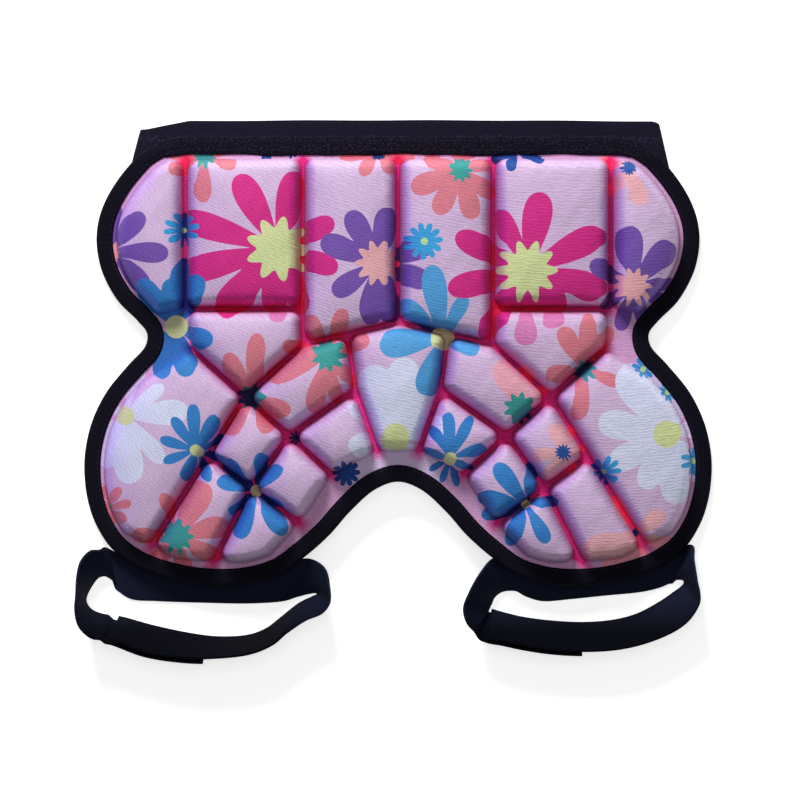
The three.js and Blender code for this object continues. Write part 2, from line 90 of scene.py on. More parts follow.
# Half outline of the pad, from the middle of the top edge to the middle of the bottom:
# across in shares of half the width, along in shares of the length.
OUTLINE = [
    (0.0, 1.0), (0.24, 1.0), (0.48, 1.0), (0.7, 1.0), (0.752, 0.991), (0.787, 0.979),
    (0.822, 0.962), (0.855, 0.938), (0.898, 0.9), (0.934, 0.857), (0.955, 0.815),
    (0.962, 0.772), (0.955, 0.728), (0.938, 0.69), (0.892, 0.634), (0.828, 0.589),
    (0.799, 0.562), (0.804, 0.535), (0.86, 0.491), (0.93, 0.431), (0.978, 0.362),
    (1.0, 0.288), (0.998, 0.223), (0.984, 0.174), (0.962, 0.134), (0.914, 0.083),
    (0.836, 0.043), (0.723, 0.015), (0.605, 0.002), (0.481, 0.005), (0.373, 0.027),
    (0.296, 0.065), (0.217, 0.114), (0.153, 0.165), (0.072, 0.215), (0.0, 0.232),
]

# Points where the channels meet or run out, in the same shares.
JUNCTIONS = {
    "middle_top": (0.0, 0.953), "middle_low": (0.0, 0.585), "inner_top": (0.301, 0.953),
    "inner_low": (0.301, 0.616), "outer_top": (0.675, 0.953), "outer_low": (0.675, 0.616),
    "side_tip": (0.765, 0.6), "heart_top": (0.301, 0.536), "heart_in": (0.159, 0.56),
    "heart_low": (0.135, 0.4375), "tail_low": (0.064, 0.297), "waist_out": (0.66, 0.53),
    "lobe_high": (0.484, 0.42), "lobe_mid": (0.344, 0.335), "lobe_out": (0.602, 0.29),
    "lobe_cross": (0.465, 0.219), "crotch_high": (0.204, 0.2455), "crotch_low": (0.306, 0.138),
    "seat_low": (0.588, 0.05), "seat_out": (0.785, 0.085),
}

# Corners of each block on the right half, in order; a pair of numbers is a stretch of the rim.
CELLS = {
    "01": ["outer_low", "side_tip", (14, 4), "outer_top"],
    "02": ["inner_low", "outer_low", "outer_top", "inner_top"],
    "03": ["middle_low", "heart_in", "heart_top", "inner_low", "inner_top", "middle_top"],
    "04": ["inner_low", "heart_top", "lobe_high", "waist_out", "outer_low"],
    "05": ["heart_in", "heart_low", "lobe_mid", "lobe_high", "heart_top"],
    "06": ["heart_low", "tail_low", "crotch_high", "lobe_mid"],
    "07": ["waist_out", "lobe_high", "lobe_out", "seat_out", (25, 18)],
    "08": ["lobe_high", "lobe_mid", "lobe_cross", "lobe_out"],
    "09": ["lobe_mid", "crotch_high", "crotch_low", "lobe_cross"],
    "10": ["lobe_out", "lobe_cross", "seat_low", (27, 27), "seat_out"],
    "11": ["lobe_cross", "crotch_low", (30, 29), "seat_low"],
}
TAIL_CELL = ["middle_low", "heart_in", "heart_low", "tail_low"]

RIM_STEPS = 14
EDGE_STEP = 1.5

# How high the cloth stands at each distance in from the middle of a channel, in mm.
WALL_PROFILE = [
    (0.0, 0.0), (0.4, 0.1), (0.75, 0.6), (1.05, 1.7), (1.3, 3.3), (1.6, 5.0), (2.0, 6.8),
    (2.5, 8.4), (3.1, 9.7), (3.8, 10.7), (4.7, 11.5), (5.8, 12.05), (7.0, 12.4),
]


def underside(x):
    """Height of the pad's underside: a shallow arch across its width."""
    return PAD_LIFT + ARCH_RISE * (1 - ((x - PAD_X) / HALF_WIDTH) ** 2)


def unit(v):
    return v / np.linalg.norm(v, axis=-1, keepdims=True)


def lengths_along(points):
    """Distance travelled along a line of points, from its first."""
    return np.concatenate([[0], np.cumsum(np.linalg.norm(np.diff(points, axis=0), axis=1))])


def grid_faces(rows, columns, closed_rows, flip=False, first=0):
    """Quads of a grid of points stored row by row from number first on; each row is closed."""
    r = np.arange(rows if closed_rows else rows - 1)
    r, c = (v.ravel() for v in np.meshgrid(r, np.arange(columns), indexing="ij"))
    near, far, c2 = r * columns, (r + 1) % rows * columns, (c + 1) % columns
    quads = np.column_stack([near + c, near + c2, far + c2, far + c]) + first
    return (quads[:, ::-1] if flip else quads).tolist()


def closed_curve(rows, steps, even_knots=False):
    """Closed curve of steps points through rows: between two rows a cubic blend of the four
    nearest, with knots spaced evenly or by the square root of their distances."""
    p = np.array(rows, float)
    count = len(p)
    at = np.arange(steps) * count / steps
    i = np.floor(at).astype(int)
    t = (at - i)[:, None]
    a, b, c, d = (p[(i + k) % count] for k in (-1, 0, 1, 2))
    if even_knots:
        m1, m2 = (c - a) / 2, (d - b) / 2
    else:
        ta, tb, tc = (np.sqrt(np.linalg.norm(v, axis=1))[:, None] for v in (b - a, c - b, d - c))
        m1 = ((b - a) / ta - (c - a) / (ta + tb) + (c - b) / tb) * tb
        m2 = ((c - b) / tb - (d - b) / (tb + tc) + (d - c) / tc) * tb
    return b + m1 * t + (3 * (c - b) - 2 * m1 - m2) * t**2 + (2 * (b - c) + m1 + m2) * t**3


def place(share):
    return (PAD_X + share[0] * HALF_WIDTH, PAD_Y + (share[1] - 1) * PAD_LENGTH)


right = [place(s) for s in OUTLINE]
left = [place((-s[0], s[1])) for s in OUTLINE[1:-1]]
rim = closed_curve(left + right[::-1], RIM_STEPS * len(left + right))


def inward(points):
    """Unit normals of an anticlockwise closed line, pointing to its inside."""
    d = unit(np.roll(points, -1, axis=0) - np.roll(points, 1, axis=0))
    return np.stack([-d[:, 1], d[:, 0]], axis=1)


rim_in = inward(rim)
cell_rim = rim + rim_in * (BINDING_WIDTH + WEB_MARGIN - CHANNEL_WIDTH / 2)
cover_rim = rim + rim_in * 1.3


def even_steps(loop):
    """A closed line with points added so that no step is longer than about EDGE_STEP."""
    out = []
    for a, b in zip(loop, np.roll(loop, -1, axis=0)):
        count = max(1, round(np.linalg.norm(b - a) / EDGE_STEP))
        out.append(a + (b - a) * (np.arange(count) / count)[:, None])
    return np.concatenate(out)


def cell_outline(corners, mirrored):
    """Points round a cell, anticlockwise, from its corners and its stretches of the rim."""
    last_row = 2 * (len(OUTLINE) - 1) - 1
    points = []
    for corner in corners:
        if isinstance(corner, str):
            points.append(np.array([place(JUNCTIONS[corner])]))
        else:
            start, end = ((last_row - row) * RIM_STEPS for row in corner)
            points.append(cell_rim[start : end + 1])
    out = even_steps(np.concatenate(points))
    if mirrored:
        out = np.stack([2 * PAD_X - out[:, 0], out[:, 1]], axis=1)[::-1]
    return out


def inset(points, distance):
    """Convex polygon with each edge moved inwards: what all the moved edges leave."""
    result = points
    for a, b in zip(points, np.roll(points, -1, axis=0)):
        length = np.linalg.norm(b - a)
        n = np.array([-(b[1] - a[1]), b[0] - a[0]]) / length
        depth = (result - a) @ n - distance
        kept = []
        for i in range(len(result)):
            j = (i + 1) % len(result)
            if depth[i] >= 0:
                kept.append(result[i])
            if depth[i] * depth[j] < 0:
                kept.append(result[i] + (result[j] - result[i]) * depth[i] / (depth[i] - depth[j]))
        result = np.array(kept)
    return result


def nearest_on(polygon, points):
    """The point of a closed polygon that lies nearest to each of the given points."""
    a = polygon[None]
    d = np.roll(polygon, -1, axis=0)[None] - a
    t = ((points[:, None] - a) * d).sum(2) / np.maximum((d * d).sum(2), 1e-12)
    q = a + d * np.clip(t, 0, 1)[..., None]
    best = np.linalg.norm(points[:, None] - q, axis=2).argmin(1)
    return q[np.arange(len(points)), best]


def depth_in(cell, points):
    """Distance of points from the nearest edge of a convex cell, positive inside."""
    a = cell
    d = np.roll(cell, -1, axis=0) - a
    length = np.linalg.norm(d, axis=1)
    n = np.stack([-d[:, 1], d[:, 0]], axis=1) / np.maximum(length, 1e-9)[:, None]
    return ((points[:, None] - a[None]) * n[None]).sum(2)[:, length > 1e-6].min(1)


half = [place(JUNCTIONS[c]) for c in TAIL_CELL]
tail = half[:1] + [(2 * PAD_X - x, y) for x, y in half[1:]] + half[:0:-1]
cells = {"foam_block_tailbone": even_steps(np.array(tail))}
for name, corners in CELLS.items():
    cells["foam_block_right_" + name] = cell_outline(corners, False)
    cells["foam_block_left_" + name] = cell_outline(corners, True)

# The crown of every block: a skin fixed along the foot of the block and pushed up evenly,
# found by repeated averaging on a 1 mm grid.
FOOT_MARGIN = 3.2
AVERAGINGS = 900
FULL_SKIN = 60
SMALL_BLOCK_POWER = 0.35
CROWN_POWER = 0.62
grid_low = rim.min(0) - 2
grid_size = np.ceil(rim.max(0) + 2 - grid_low).astype(int)
gx, gy = np.meshgrid(np.arange(grid_size[0]), np.arange(grid_size[1]), indexing="ij")
free = np.zeros(grid_size, bool)
owner = np.zeros(grid_size, int)
for number, cell in enumerate(cells.values()):
    a, b = (cell.min(0) - grid_low).astype(int), (cell.max(0) - grid_low).astype(int) + 2
    window = (slice(a[0], b[0]), slice(a[1], b[1]))
    points = np.stack([gx[window].ravel(), gy[window].ravel()], axis=1) + grid_low
    inside = (depth_in(cell, points) > FOOT_MARGIN).reshape(gx[window].shape)
    free[window] |= inside
    owner[window][inside] = number + 1
skin = np.zeros(grid_size)
for _ in range(AVERAGINGS):
    around = sum(np.roll(skin, by, axis) for axis in (0, 1) for by in (1, -1))
    skin = np.where(free, around / 4 + 0.25, 0)
crown = np.zeros(grid_size)
for number in range(1, len(cells) + 1):
    mine = owner == number
    top = skin[mine].max()
    highest = CROWN * min(1.0, (top / FULL_SKIN) ** SMALL_BLOCK_POWER)
    crown[mine] = highest * (skin[mine] / top) ** CROWN_POWER


def crown_at(points):
    """Height of the crown at points, blended from the four grid points round each."""
    q = points - grid_low
    i = np.floor(q).astype(int)
    f = q - i
    i0, i1 = i[:, 0], i[:, 1]
    near = crown[i0, i1] * (1 - f[:, 0]) + crown[i0 + 1, i1] * f[:, 0]
    far = crown[i0, i1 + 1] * (1 - f[:, 0]) + crown[i0 + 1, i1 + 1] * f[:, 0]
    return near * (1 - f[:, 1]) + far * f[:, 1]


def ripple(points):
    """Slow unevenness of the cloth: a few long waves in different directions."""
    x, y = points[:, 0], points[:, 1]
    return (
        0.16 * np.sin(0.21 * x + 0.13 * y)
        + 0.12 * np.sin(-0.11 * x + 0.29 * y + 1.3)
        + 0.07 * np.sin(0.52 * x - 0.37 * y + 0.6)
    )


profile_s, profile_z = np.array(WALL_PROFILE).T
arc = lengths_along(WALL_PROFILE)
INNER_SHARES = [0.05, 0.1, 0.17, 0.25, 0.38, 0.51, 0.64, 0.76, 0.87, 0.95]
OPEN_DISTANCE = 5.0


def channel_shade_share(points):
    """How much painted channel shade the foot of the cloth takes: all of it between two blocks,
    and OPEN_CHANNEL_SHADE where the second nearest block is OPEN_DISTANCE away or more."""
    away = np.sort([-depth_in(cell, points) for cell in cells.values()], axis=0)[1]
    tight = np.clip(1 - np.maximum(away, 0) / OPEN_DISTANCE, 0, 1)
    return OPEN_CHANNEL_SHADE + (1 - OPEN_CHANNEL_SHADE) * tight


vertices, prints, shade_shares, faces = [], [], [], []
offset = 0
for cell in cells.values():
    painted_shade = channel_shade_share(cell)
    reach = CHANNEL_WIDTH / 2 + CORNER_RADIUS
    core = inset(cell, reach)
    count = len(cell)
    foot = nearest_on(core, cell)
    ray = unit(cell - foot)
    centre = core.mean(0)
    # Share of painted channel shade at each ring: fading up the wall, none on the crown.
    rings, heights, shown, shade_by_depth = [cell], [np.zeros(count)], [cell], [painted_shade]
    for s, z, a in zip(profile_s[1:], profile_z[1:], arc[1:]):
        rings.append(foot + ray * (reach - s))
        heights.append(np.full(count, z))
        shown.append(foot + ray * (reach - reach * (a / arc[-1])))
        shade_by_depth.append(painted_shade * max(0.0, 1 - z / CHANNEL_SHADE_HEIGHT))
    for share in INNER_SHARES:
        rings.append(foot + (centre - foot) * share)
        heights.append(np.full(count, BLOCK_HEIGHT))
        shown.append(rings[-1])
        shade_by_depth.append(np.zeros(count))
    plan = np.concatenate(rings + [centre[None]])
    z = np.concatenate(heights + [[BLOCK_HEIGHT]])
    z = z + crown_at(plan) * (z / BLOCK_HEIGHT) + ripple(plan) * (z / BLOCK_HEIGHT)
    vertices.append(np.column_stack([plan, underside(plan[:, 0]) + WEB_LEVEL + z]))
    prints.append(np.concatenate(shown + [centre[None]]))
    shade_shares.append(np.concatenate(shade_by_depth + [[0.0]]))
    faces += grid_faces(len(rings), count, False, first=offset)
    last = offset + (len(rings) - 1) * count
    a = np.arange(count)
    middle = np.full(count, last + count)
    faces += np.column_stack([last + a, last + (a + 1) % count, middle]).tolist()
    offset += len(plan)

# The web: all that lies inside the rim and outside the cells.
WEB_GRID = 2
WEB_GAP = 0.9
UNDER_GRID = 6
KEY_SCALE = 200

corners = {}
points = []
edges = set()
for line in [cover_rim, *cells.values()]:
    ids = []
    for point in line:
        key = (round(point[0] * KEY_SCALE), round(point[1] * KEY_SCALE))
        if key not in corners:
            corners[key] = len(points)
            points.append(point)
        ids.append(corners[key])
    for a, b in zip(ids, ids[1:] + ids[:1]):
        if a != b:
            edges ^= {(min(a, b), max(a, b))}
used = sorted({i for edge in edges for i in edge})
numbered = {old: new for new, old in enumerate(used)}


def inside_line(line, query):
    """Whether each point lies inside a closed line, by counting crossings to its right."""
    a, b = line, np.roll(line, -1, axis=0)
    above = (a[:, 1][None] > query[:, 1][:, None]) != (b[:, 1][None] > query[:, 1][:, None])
    slope = (b[:, 0] - a[:, 0]) / np.where(b[:, 1] == a[:, 1], 1, b[:, 1] - a[:, 1])
    x = a[:, 0][None] + (query[:, 1][:, None] - a[:, 1][None]) * slope[None]
    return (above & (x > query[:, 0][:, None])).sum(1) % 2 == 1


def in_web(query, margin=0.0):
    keep = inside_line(cover_rim, query)
    for cell in cells.values():
        keep &= depth_in(cell, query) < -margin
    return keep


def triangulated(outline, edges, step, allowed, gap, in_area, upwards):
    """Points and triangles of a flat area: its outline, and the grid points a step apart that
    are allowed and at least a gap away from the rim."""
    on_grid = (gx.ravel() % step == 0) & (gy.ravel() % step == 0)
    filling = (np.stack([gx.ravel(), gy.ravel()], axis=1) + grid_low)[on_grid]
    filling = filling[allowed(filling)]
    far = np.linalg.norm(filling[:, None] - cover_rim[None, ::2], axis=2).min(1) > gap
    flat = [tuple(p) for p in outline] + [tuple(p) for p in filling[far]]
    result = delaunay_2d_cdt(flat, edges, [], 0, 0.001)
    area = np.array([tuple(v) for v in result[0]])
    triangles = np.array(result[2])
    triangles = triangles[in_area(area[triangles].mean(1))]
    a, b, c = (area[triangles[:, k]] for k in range(3))
    turn = (b[:, 0] - a[:, 0]) * (c[:, 1] - a[:, 1]) - (b[:, 1] - a[:, 1]) * (c[:, 0] - a[:, 0])
    wrong = turn < 0 if upwards else turn > 0
    triangles[wrong] = triangles[wrong][:, ::-1]
    return area, triangles


web, triangles = triangulated(
    [points[i] for i in used], [(numbered[a], numbered[b]) for a, b in edges],
    WEB_GRID, lambda query: in_web(query, WEB_GAP), 1.0, in_web, True,
)
vertices.append(np.column_stack([web, underside(web[:, 0]) + WEB_LEVEL]))
prints.append(web)
# The web takes painted channel shade too, most where blocks stand close.
shade_shares.append(channel_shade_share(web))
faces += (triangles + offset).tolist()
offset += len(web)
top_faces = len(faces)

# The plain underside and the narrow wall along the rim.
count = len(cover_rim)
for level in (WEB_LEVEL, UNDER_LEVEL):
    vertices.append(np.column_stack([cover_rim, underside(cover_rim[:, 0]) + level]))
    prints.append(cover_rim)
    shade_shares.append(np.zeros(count))
faces += grid_faces(2, count, False, flip=True, first=offset)
offset += 2 * count
in_rim = lambda query: inside_line(cover_rim, query)
below, triangles = triangulated(
    cover_rim, [(i, (i + 1) % count) for i in range(count)], UNDER_GRID, in_rim, 3.0, in_rim, False
)
vertices.append(np.column_stack([below, underside(below[:, 0]) + UNDER_LEVEL]))
prints.append(below)
shade_shares.append(np.zeros(len(below)))
faces += (triangles + offset).tolist()

# Points that meet become one, and faces that shrink to a line go.
vertices, prints, shade_shares = (np.concatenate(v) for v in (vertices, prints, shade_shares))
key = np.round(vertices * 100).astype(np.int64)
_, first, same = np.unique(key, axis=0, return_index=True, return_inverse=True)
same = same.ravel()
vertices, prints, shade_shares = vertices[first], prints[first], shade_shares[first]
kept_faces, cloths = [], []
for number, face in enumerate(faces):
    face = [int(same[i]) for i in face]
    face = [v for i, v in enumerate(face) if v != face[i - 1]]
    if len(face) > 2:
        kept_faces.append(face)
        cloths.append(0 if number < top_faces else 1)


def mesh_object(name, points_mm, polygons):
    """Object at the origin from points in millimetres and polygons."""
    mesh = bpy.data.meshes.new(name)
    mesh.from_pydata((np.asarray(points_mm) / 1000).tolist(), [], polygons)
    mesh.update()
    mesh.polygons.foreach_set("use_smooth", np.full(len(mesh.polygons), True))
    piece = bpy.data.objects.new(name, mesh)
    bpy.context.scene.collection.objects.link(piece)
    return piece


def point_attribute(piece, name, values):
    """One vector per point: the third component is 0 where two are given."""
    values = np.asarray(values, float)
    layer = piece.data.attributes.new(name, "FLOAT_VECTOR", "POINT")
    full = np.zeros((len(values), 3))
    full[:, : values.shape[1]] = values
    layer.data.foreach_set("vector", full.ravel())


cover = mesh_object("padded_cover", vertices, kept_faces)
cover.data.polygons.foreach_set("material_index", cloths)
# The print attribute holds the print's place across and along, then the share of painted channel
# shade.
point_attribute(cover, "print", np.column_stack([prints - [PAD_X, PAD_Y], shade_shares]))
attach(cover, "root")
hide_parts("backing_panel", *cells)

# Printed knit
# Lavender rib knit with a scatter of daisies, the cover's cloth. Each daisy is a curve of outline
# length against angle, read round its own centre; down in a channel painted shade turns the cloth
# crimson.

# Petals and disc of each kind, as web colours.
DAISY_COLOURS = {
    "magenta": ("#D42C88", "#D3DCA0"), "pink": ("#D27BB4", "#D3DCA0"),
    "purple": ("#7452AA", "#E8ACB2"),
    "coral": ("#D87C8C", "#3A9A96"), "coral_navy": ("#D87C8C", "#1C3C80"),
    "blue": ("#3580C8", "#D3DCA0"), "blue_big": ("#529FDA", "#D3DCA0"),
    "white": ("#D8DCF6", "#D3DCA0"), "peach": ("#E9A6B8", "#3A9A96"),
    "peach_navy": ("#EBAFB8", "#2F58A4"), "small_blue": ("#3AA0DC", "#BCDC98"),
    "navy": ("#1F4C9C", "#1F4C9C"),
}
# Columns: kind, middle across and along from the middle of the pad's top edge in mm, radius of
# the middle disc in mm, points of the disc, width of a petal as a share of its length, then
# either number of petals, length in mm and angle of the first in degrees, or each petal's angle,
# length and, where it differs, width.
DAISIES = [
    ("coral_navy", -11.1, -11.7, 3.3, 9, 0.5,
     [(-130, 14.6), (-52, 12.7), (-177, 21.2, 0.4), (-3, 20.7, 0.4)]),
    ("navy", -73.0, -9.5, 3.3, 0, 0.5, 6, 4.5, 0),
    ("navy", -59.1, -9.5, 1.1, 0, 0.5, 6, 3.3, 20),
    ("navy", 65.8, -8.4, 1.7, 0, 0.45,
     [(-110, 13.0), (-27, 16.9, 0.4), (-158, 15.0), (53, 8.4, 0.4)]),
    ("coral", -107.0, -12.8, 5.6, 9, 0.38,
     [(-91, 25.1), (-16, 18.5), (-158, 21.0), (166, 23.5), (30, 22.0), (89, 22.3)]),
    ("coral", -155.5, -21.7, 2.2, 0, 0.5, [(21, 12.5), (-63, 11.2)]),
    ("purple", -158.8, -64.1, 5.0, 10, 0.4,
     [(48, 27.6), (-3, 32.4, 0.36), (-47, 30.4), (-93, 29.6), (-135, 26.0), (138, 26.4),
      (91, 29.0)]),
    ("magenta", -65.8, -63.5, 15.0, 9, 0.36,
     [(119, 46.7, 0.34), (78, 43.9, 0.33), (162, 59.7, 0.25), (-166, 57.4, 0.27), (-132, 50.1),
      (-95, 34.7, 0.42), (-66, 38.4, 0.34), (27, 34.4), (-19, 34.7)]),
    ("small_blue", -119.3, -52.4, 1.7, 0, 0.34, 10, 10.0, 10),
    ("blue", -123.2, -105.9, 6.4, 0, 0.4,
     [(129, 32.5), (63, 31.4), (83, 38.7, 0.3), (-23, 23.0, 0.45), (-75, 28.8, 0.42),
      (-108, 30.5, 0.42), (-137, 23.7), (96, 26.3)]),
    ("coral", -80.8, -144.9, 7.2, 9, 0.42,
     [(84, 35.3, 0.3), (120, 27.7, 0.36), (-123, 25.3), (-63, 22.4), (-21, 23.3, 0.4)]),
    ("white", -1.1, -166.6, 7.2, 0, 0.46,
     [(142, 31.0), (-167, 26.9, 0.45), (110, 41.4, 0.44), (83, 43.8, 0.42), (53, 37.8),
      (12, 29.6), (-50, 34.8, 0.5), (-90, 31.2, 0.5), (-129, 37.3, 0.5)]),
    ("purple", -11.1, -71.3, 10.6, 10, 0.4,
     [(80, 30.9), (119, 32.4), (158, 33.7), (-145, 30.0), (-99, 32.7), (-75, 33.4), (-21, 31.0),
      (20, 32.1)]),
    ("blue_big", 24.5, -112.6, 6.7, 0, 0.42,
     [(99, 40.6, 0.34), (61, 26.7, 0.32), (137, 30.4, 0.32), (-172, 34.9), (-109, 33.0),
      (-20, 21.3)]),
    ("small_blue", 14.5, -59.4, 2.0, 0, 0.34, 11, 10.3, 5),
    ("coral", 34.6, -20.3, 5.6, 9, 0.42,
     [(-159, 29.2), (-119, 27.7), (-76, 27.8), (-38, 23.2), (161, 21.8), (14, 17.8), (97, 21.6),
      (66, 20.5)]),
    ("magenta", 71.3, -75.2, 13.9, 10, 0.32,
     [(80, 43.6, 0.38), (27, 46.9, 0.34), (-14, 44.2, 0.34), (154, 44.1), (-166, 45.3),
      (-91, 24.0, 0.72), (-50, 30.5, 0.5), (-124, 44.2), (115, 36.9, 0.28)]),
    ("pink", -66.3, -93.6, -0.6, 0, 1.0, [(-90, 10.0)]),
    ("pink", 70.8, -95.3, -0.6, 0, 0.6, [(-92, 21.2)]),
    ("pink", 84.2, -94.7, -0.6, 0, 1.0, [(-80, 12.5)]),
    ("peach_navy", 127.6, -18.9, 3.3, 12, 0.5,
     [(-70, 21.3), (-124, 16.8, 0.45), (159, 17.3, 0.4)]),
    ("purple", 129.9, -83.6, 8.4, 10, 0.36,
     [(94, 33.0, 0.42), (49, 32.0, 0.42), (5, 25.2, 0.3), (152, 27.2, 0.4), (-148, 21.0, 0.4),
      (-105, 25.4), (-69, 24.5), (-24, 23.2)]),
    ("coral", 103.1, -129.9, 6.1, 9, 0.34,
     [(120, 27.0, 0.4), (86, 29.6), (57, 28.6), (-22, 21.0, 0.36), (-97, 27.5),
      (-173, 21.9, 0.42)]),
    ("peach", 66.9, -151.0, 7.5, 9, 0.4, [(116, 27.9, 0.42), (78, 25.0), (36, 19.2)]),
    ("coral", -38.5, -122.3, 7.5, 9, 0.34,
     [(-161, 37.6), (166, 25.9), (-107, 31.8, 0.32), (-80, 26.8, 0.3), (-48, 22.3, 0.32),
      (115, 24.9), (71, 27.4), (22, 24.6)]),
    ("white", -150.5, -155.5, 5.0, 0, 0.4,
     [(5, 35.2), (-50, 33.3, 0.3), (-86, 37.4, 0.45), (-115, 31.9), (39, 27.3, 0.3),
      (80, 37.4, 0.3), (-144, 22.7), (154, 20.4)]),
    ("white", 148.2, -165.5, 7.5, 0, 0.4,
     [(122, 44.5, 0.5), (169, 38.6, 0.42), (-151, 35.7, 0.42), (-113, 32.7, 0.42), (-82, 38.9),
      (-48, 34.7), (10, 29.4), (62, 37.4), (95, 40.3)]),
    ("blue", 29.0, -178.5, 3.3, 0, 0.28,
     [(93, 25.3), (64, 24.3), (20, 20.1), (-25, 14.1), (-76, 16.5), (-110, 14.7), (-149, 13.7),
      (160, 14.9), (120, 20.1)]),
    ("blue", -111.6, -174.2, 3.1, 0, 0.3,
     [(93, 25.5), (125, 22.1), (162, 20.4), (-160, 18.8), (-115, 18.1), (60, 22.4), (26, 17.5),
      (-66, 19.2), (-19, 19.1)]),
    ("coral", -159.4, -205.6, 1.7, 0, 0.42, 7, 12.3, 10),
    ("blue", -78.6, -196.9, 3.3, 0, 0.36,
     [(80, 21.8), (136, 25.4), (165, 22.0, 0.34), (-142, 19.7, 0.3), (-109, 27.5),
      (-57, 27.6, 0.34), (-27, 18.1, 0.3), (42, 20.3, 0.3)]),
    ("coral", -121.5, -221.8, 7.8, 9, 0.4,
     [(61, 33.7, 0.42), (15, 28.3, 0.42), (-29, 25.0), (-84, 30.8), (-132, 24.9),
      (180, 26.8, 0.36), (109, 25.4, 0.3)]),
    ("navy", -28.7, -186.7, 1.7, 0, 0.4, 10, 7.8, 0),
    ("navy", -56.6, -167.5, 1.1, 0, 0.4, 8, 3.9, 0),
    ("peach_navy", 90.8, -175.3, 3.9, 12, 0.5,
     [(110, 16.3), (69, 15.3), (6, 12.9), (-61, 15.0), (-118, 16.7), (-175, 15.7)]),
    ("blue", 71.2, -204.9, 2.8, 0, 0.36,
     [(127, 29.2), (83, 24.5, 0.34), (9, 19.3), (-61, 23.2), (-114, 24.6, 0.34), (169, 27.7),
      (-167, 25.6, 0.34)]),
    ("peach_navy", 131.5, -220.7, 2.2, 8, 0.4,
     [(-162, 30.0, 0.45), (121, 24.0, 0.42), (39, 19.4, 0.5), (-18, 22.2), (-79, 26.7),
      (-123, 29.4)]),
    ("small_blue", 114.8, -185.6, 1.7, 0, 0.36, 9, 8.4, 0),
    ("small_blue", 164.4, -180.6, 1.7, 0, 0.36, 9, 8.4, 0),
    ("small_blue", 136.5, -129.3, 1.7, 0, 0.36, 9, 6.7, 0),
    ("small_blue", 150.5, -142.1, 1.7, 0, 0.36, 9, 6.7, 0),
]
PALE_DISCS = ("#D3DCA0", "#BCDC98")
GROUND = "#D3B6DB"
CURVE_STEPS = 180
LONGEST = 60.0
EDGE_SOFTNESS = 0.35
DISC_POINT_DEPTH = 0.2
RIB_PITCH = 1.7
RIB_TONE_AND_SHEEN = 0.3
# Painted shade on slopes that face left: a violet colour to multiply by, and its share.
LEFT_SLOPE_SHADE = (0.62, 0.42, 0.95, 1.0)
LEFT_SLOPE_SHADE_SHARE = 0.65
# Painted shade in the channels: the cloth's colour deepened and turned crimson at the foot, and
# rosy on the way up.
CHANNEL_SHADE_GAMMA = 1.5
CHANNEL_SHADE_COLOUR = (1.4, 0.04, 0.3, 1.0)
CHANNEL_SHADE_LEAST = (0.0, 0.004, 0.035)
EDGE_SHADE_COLOUR = (1.0, 0.5, 0.82, 1.0)
EDGE_SHADE_SHARE = 0.75
PALE_DISC_KEEPS = 0.85


def linear(code):
    """Linear colour of a web colour code."""
    values = [int(code[i : i + 2], 16) / 255 for i in (1, 3, 5)]
    return [v / 12.92 if v <= 0.04045 else ((v + 0.055) / 1.055) ** 2.4 for v in values] + [1.0]


def new_material(name, roughness, sheen):
    """Material with its surface node set up for cloth."""
    material = bpy.data.materials.new(name)
    material.use_nodes = True
    surface = material.node_tree.nodes["Principled BSDF"]
    surface.inputs["Roughness"].default_value = roughness
    surface.inputs["Sheen Weight"].default_value = sheen
    surface.inputs["Sheen Roughness"].default_value = 0.4
    surface.inputs["Specular IOR Level"].default_value = 0.2
    return material, material.node_tree, surface


def feed(tree, socket, value):
    """A link where the value is another node's output, and a constant otherwise."""
    if isinstance(value, bpy.types.NodeSocket):
        tree.links.new(value, socket)
    else:
        socket.default_value = value


def calc(tree, operation, *values, clamp=False):
    node = tree.nodes.new("ShaderNodeMath")
    node.operation = operation
    node.use_clamp = clamp
    for socket, value in zip(node.inputs, values):
        feed(tree, socket, value)
    return node.outputs[0]


def times(tree, a, b, plus=0.0, clamp=False):
    """a times b, plus a third value."""
    return calc(tree, "MULTIPLY_ADD", a, b, plus, clamp=clamp)


def vector_calc(tree, operation, a, b, output=0):
    node = tree.nodes.new("ShaderNodeVectorMath")
    node.operation = operation
    feed(tree, node.inputs[0], a)
    feed(tree, node.inputs[1], b)
    return node.outputs[output]


def blend(tree, share, a, b, how="MIX"):
    """Colour a turned towards colour b by a share."""
    node = tree.nodes.new("ShaderNodeMix")
    node.data_type = "RGBA"
    node.blend_type = how
    feed(tree, node.inputs["Factor"], share)
    feed(tree, node.inputs[6], a)
    feed(tree, node.inputs[7], b)
    return node.outputs[2]


def shaded(tree, colour, tone):
    """Colour times a tone."""
    grey = vector_calc(tree, "MULTIPLY", (1.0, 1.0, 1.0), tone)
    return blend(tree, 1.0, colour, grey, "MULTIPLY")


def split(tree, vector):
    """The three components of a vector."""
    node = tree.nodes.new("ShaderNodeSeparateXYZ")
    feed(tree, node.inputs[0], vector)
    return node.outputs


def noise(tree, where, stretch, detail):
    node = tree.nodes.new("ShaderNodeTexNoise")
    feed(tree, node.inputs["Vector"], vector_calc(tree, "MULTIPLY", where, stretch))
    node.inputs["Scale"].default_value = 1.0
    node.inputs["Detail"].default_value = detail
    return node.outputs[0]


def read_attribute(tree, name):
    node = tree.nodes.new("ShaderNodeAttribute")
    node.attribute_name = name
    return node.outputs["Vector"]


def bump(tree, surface, height, distance, strength=1.0):
    node = tree.nodes.new("ShaderNodeBump")
    node.inputs["Strength"].default_value = strength
    node.inputs["Distance"].default_value = distance
    feed(tree, node.inputs["Height"], height)
    tree.links.new(node.outputs[0], surface.inputs["Normal"])


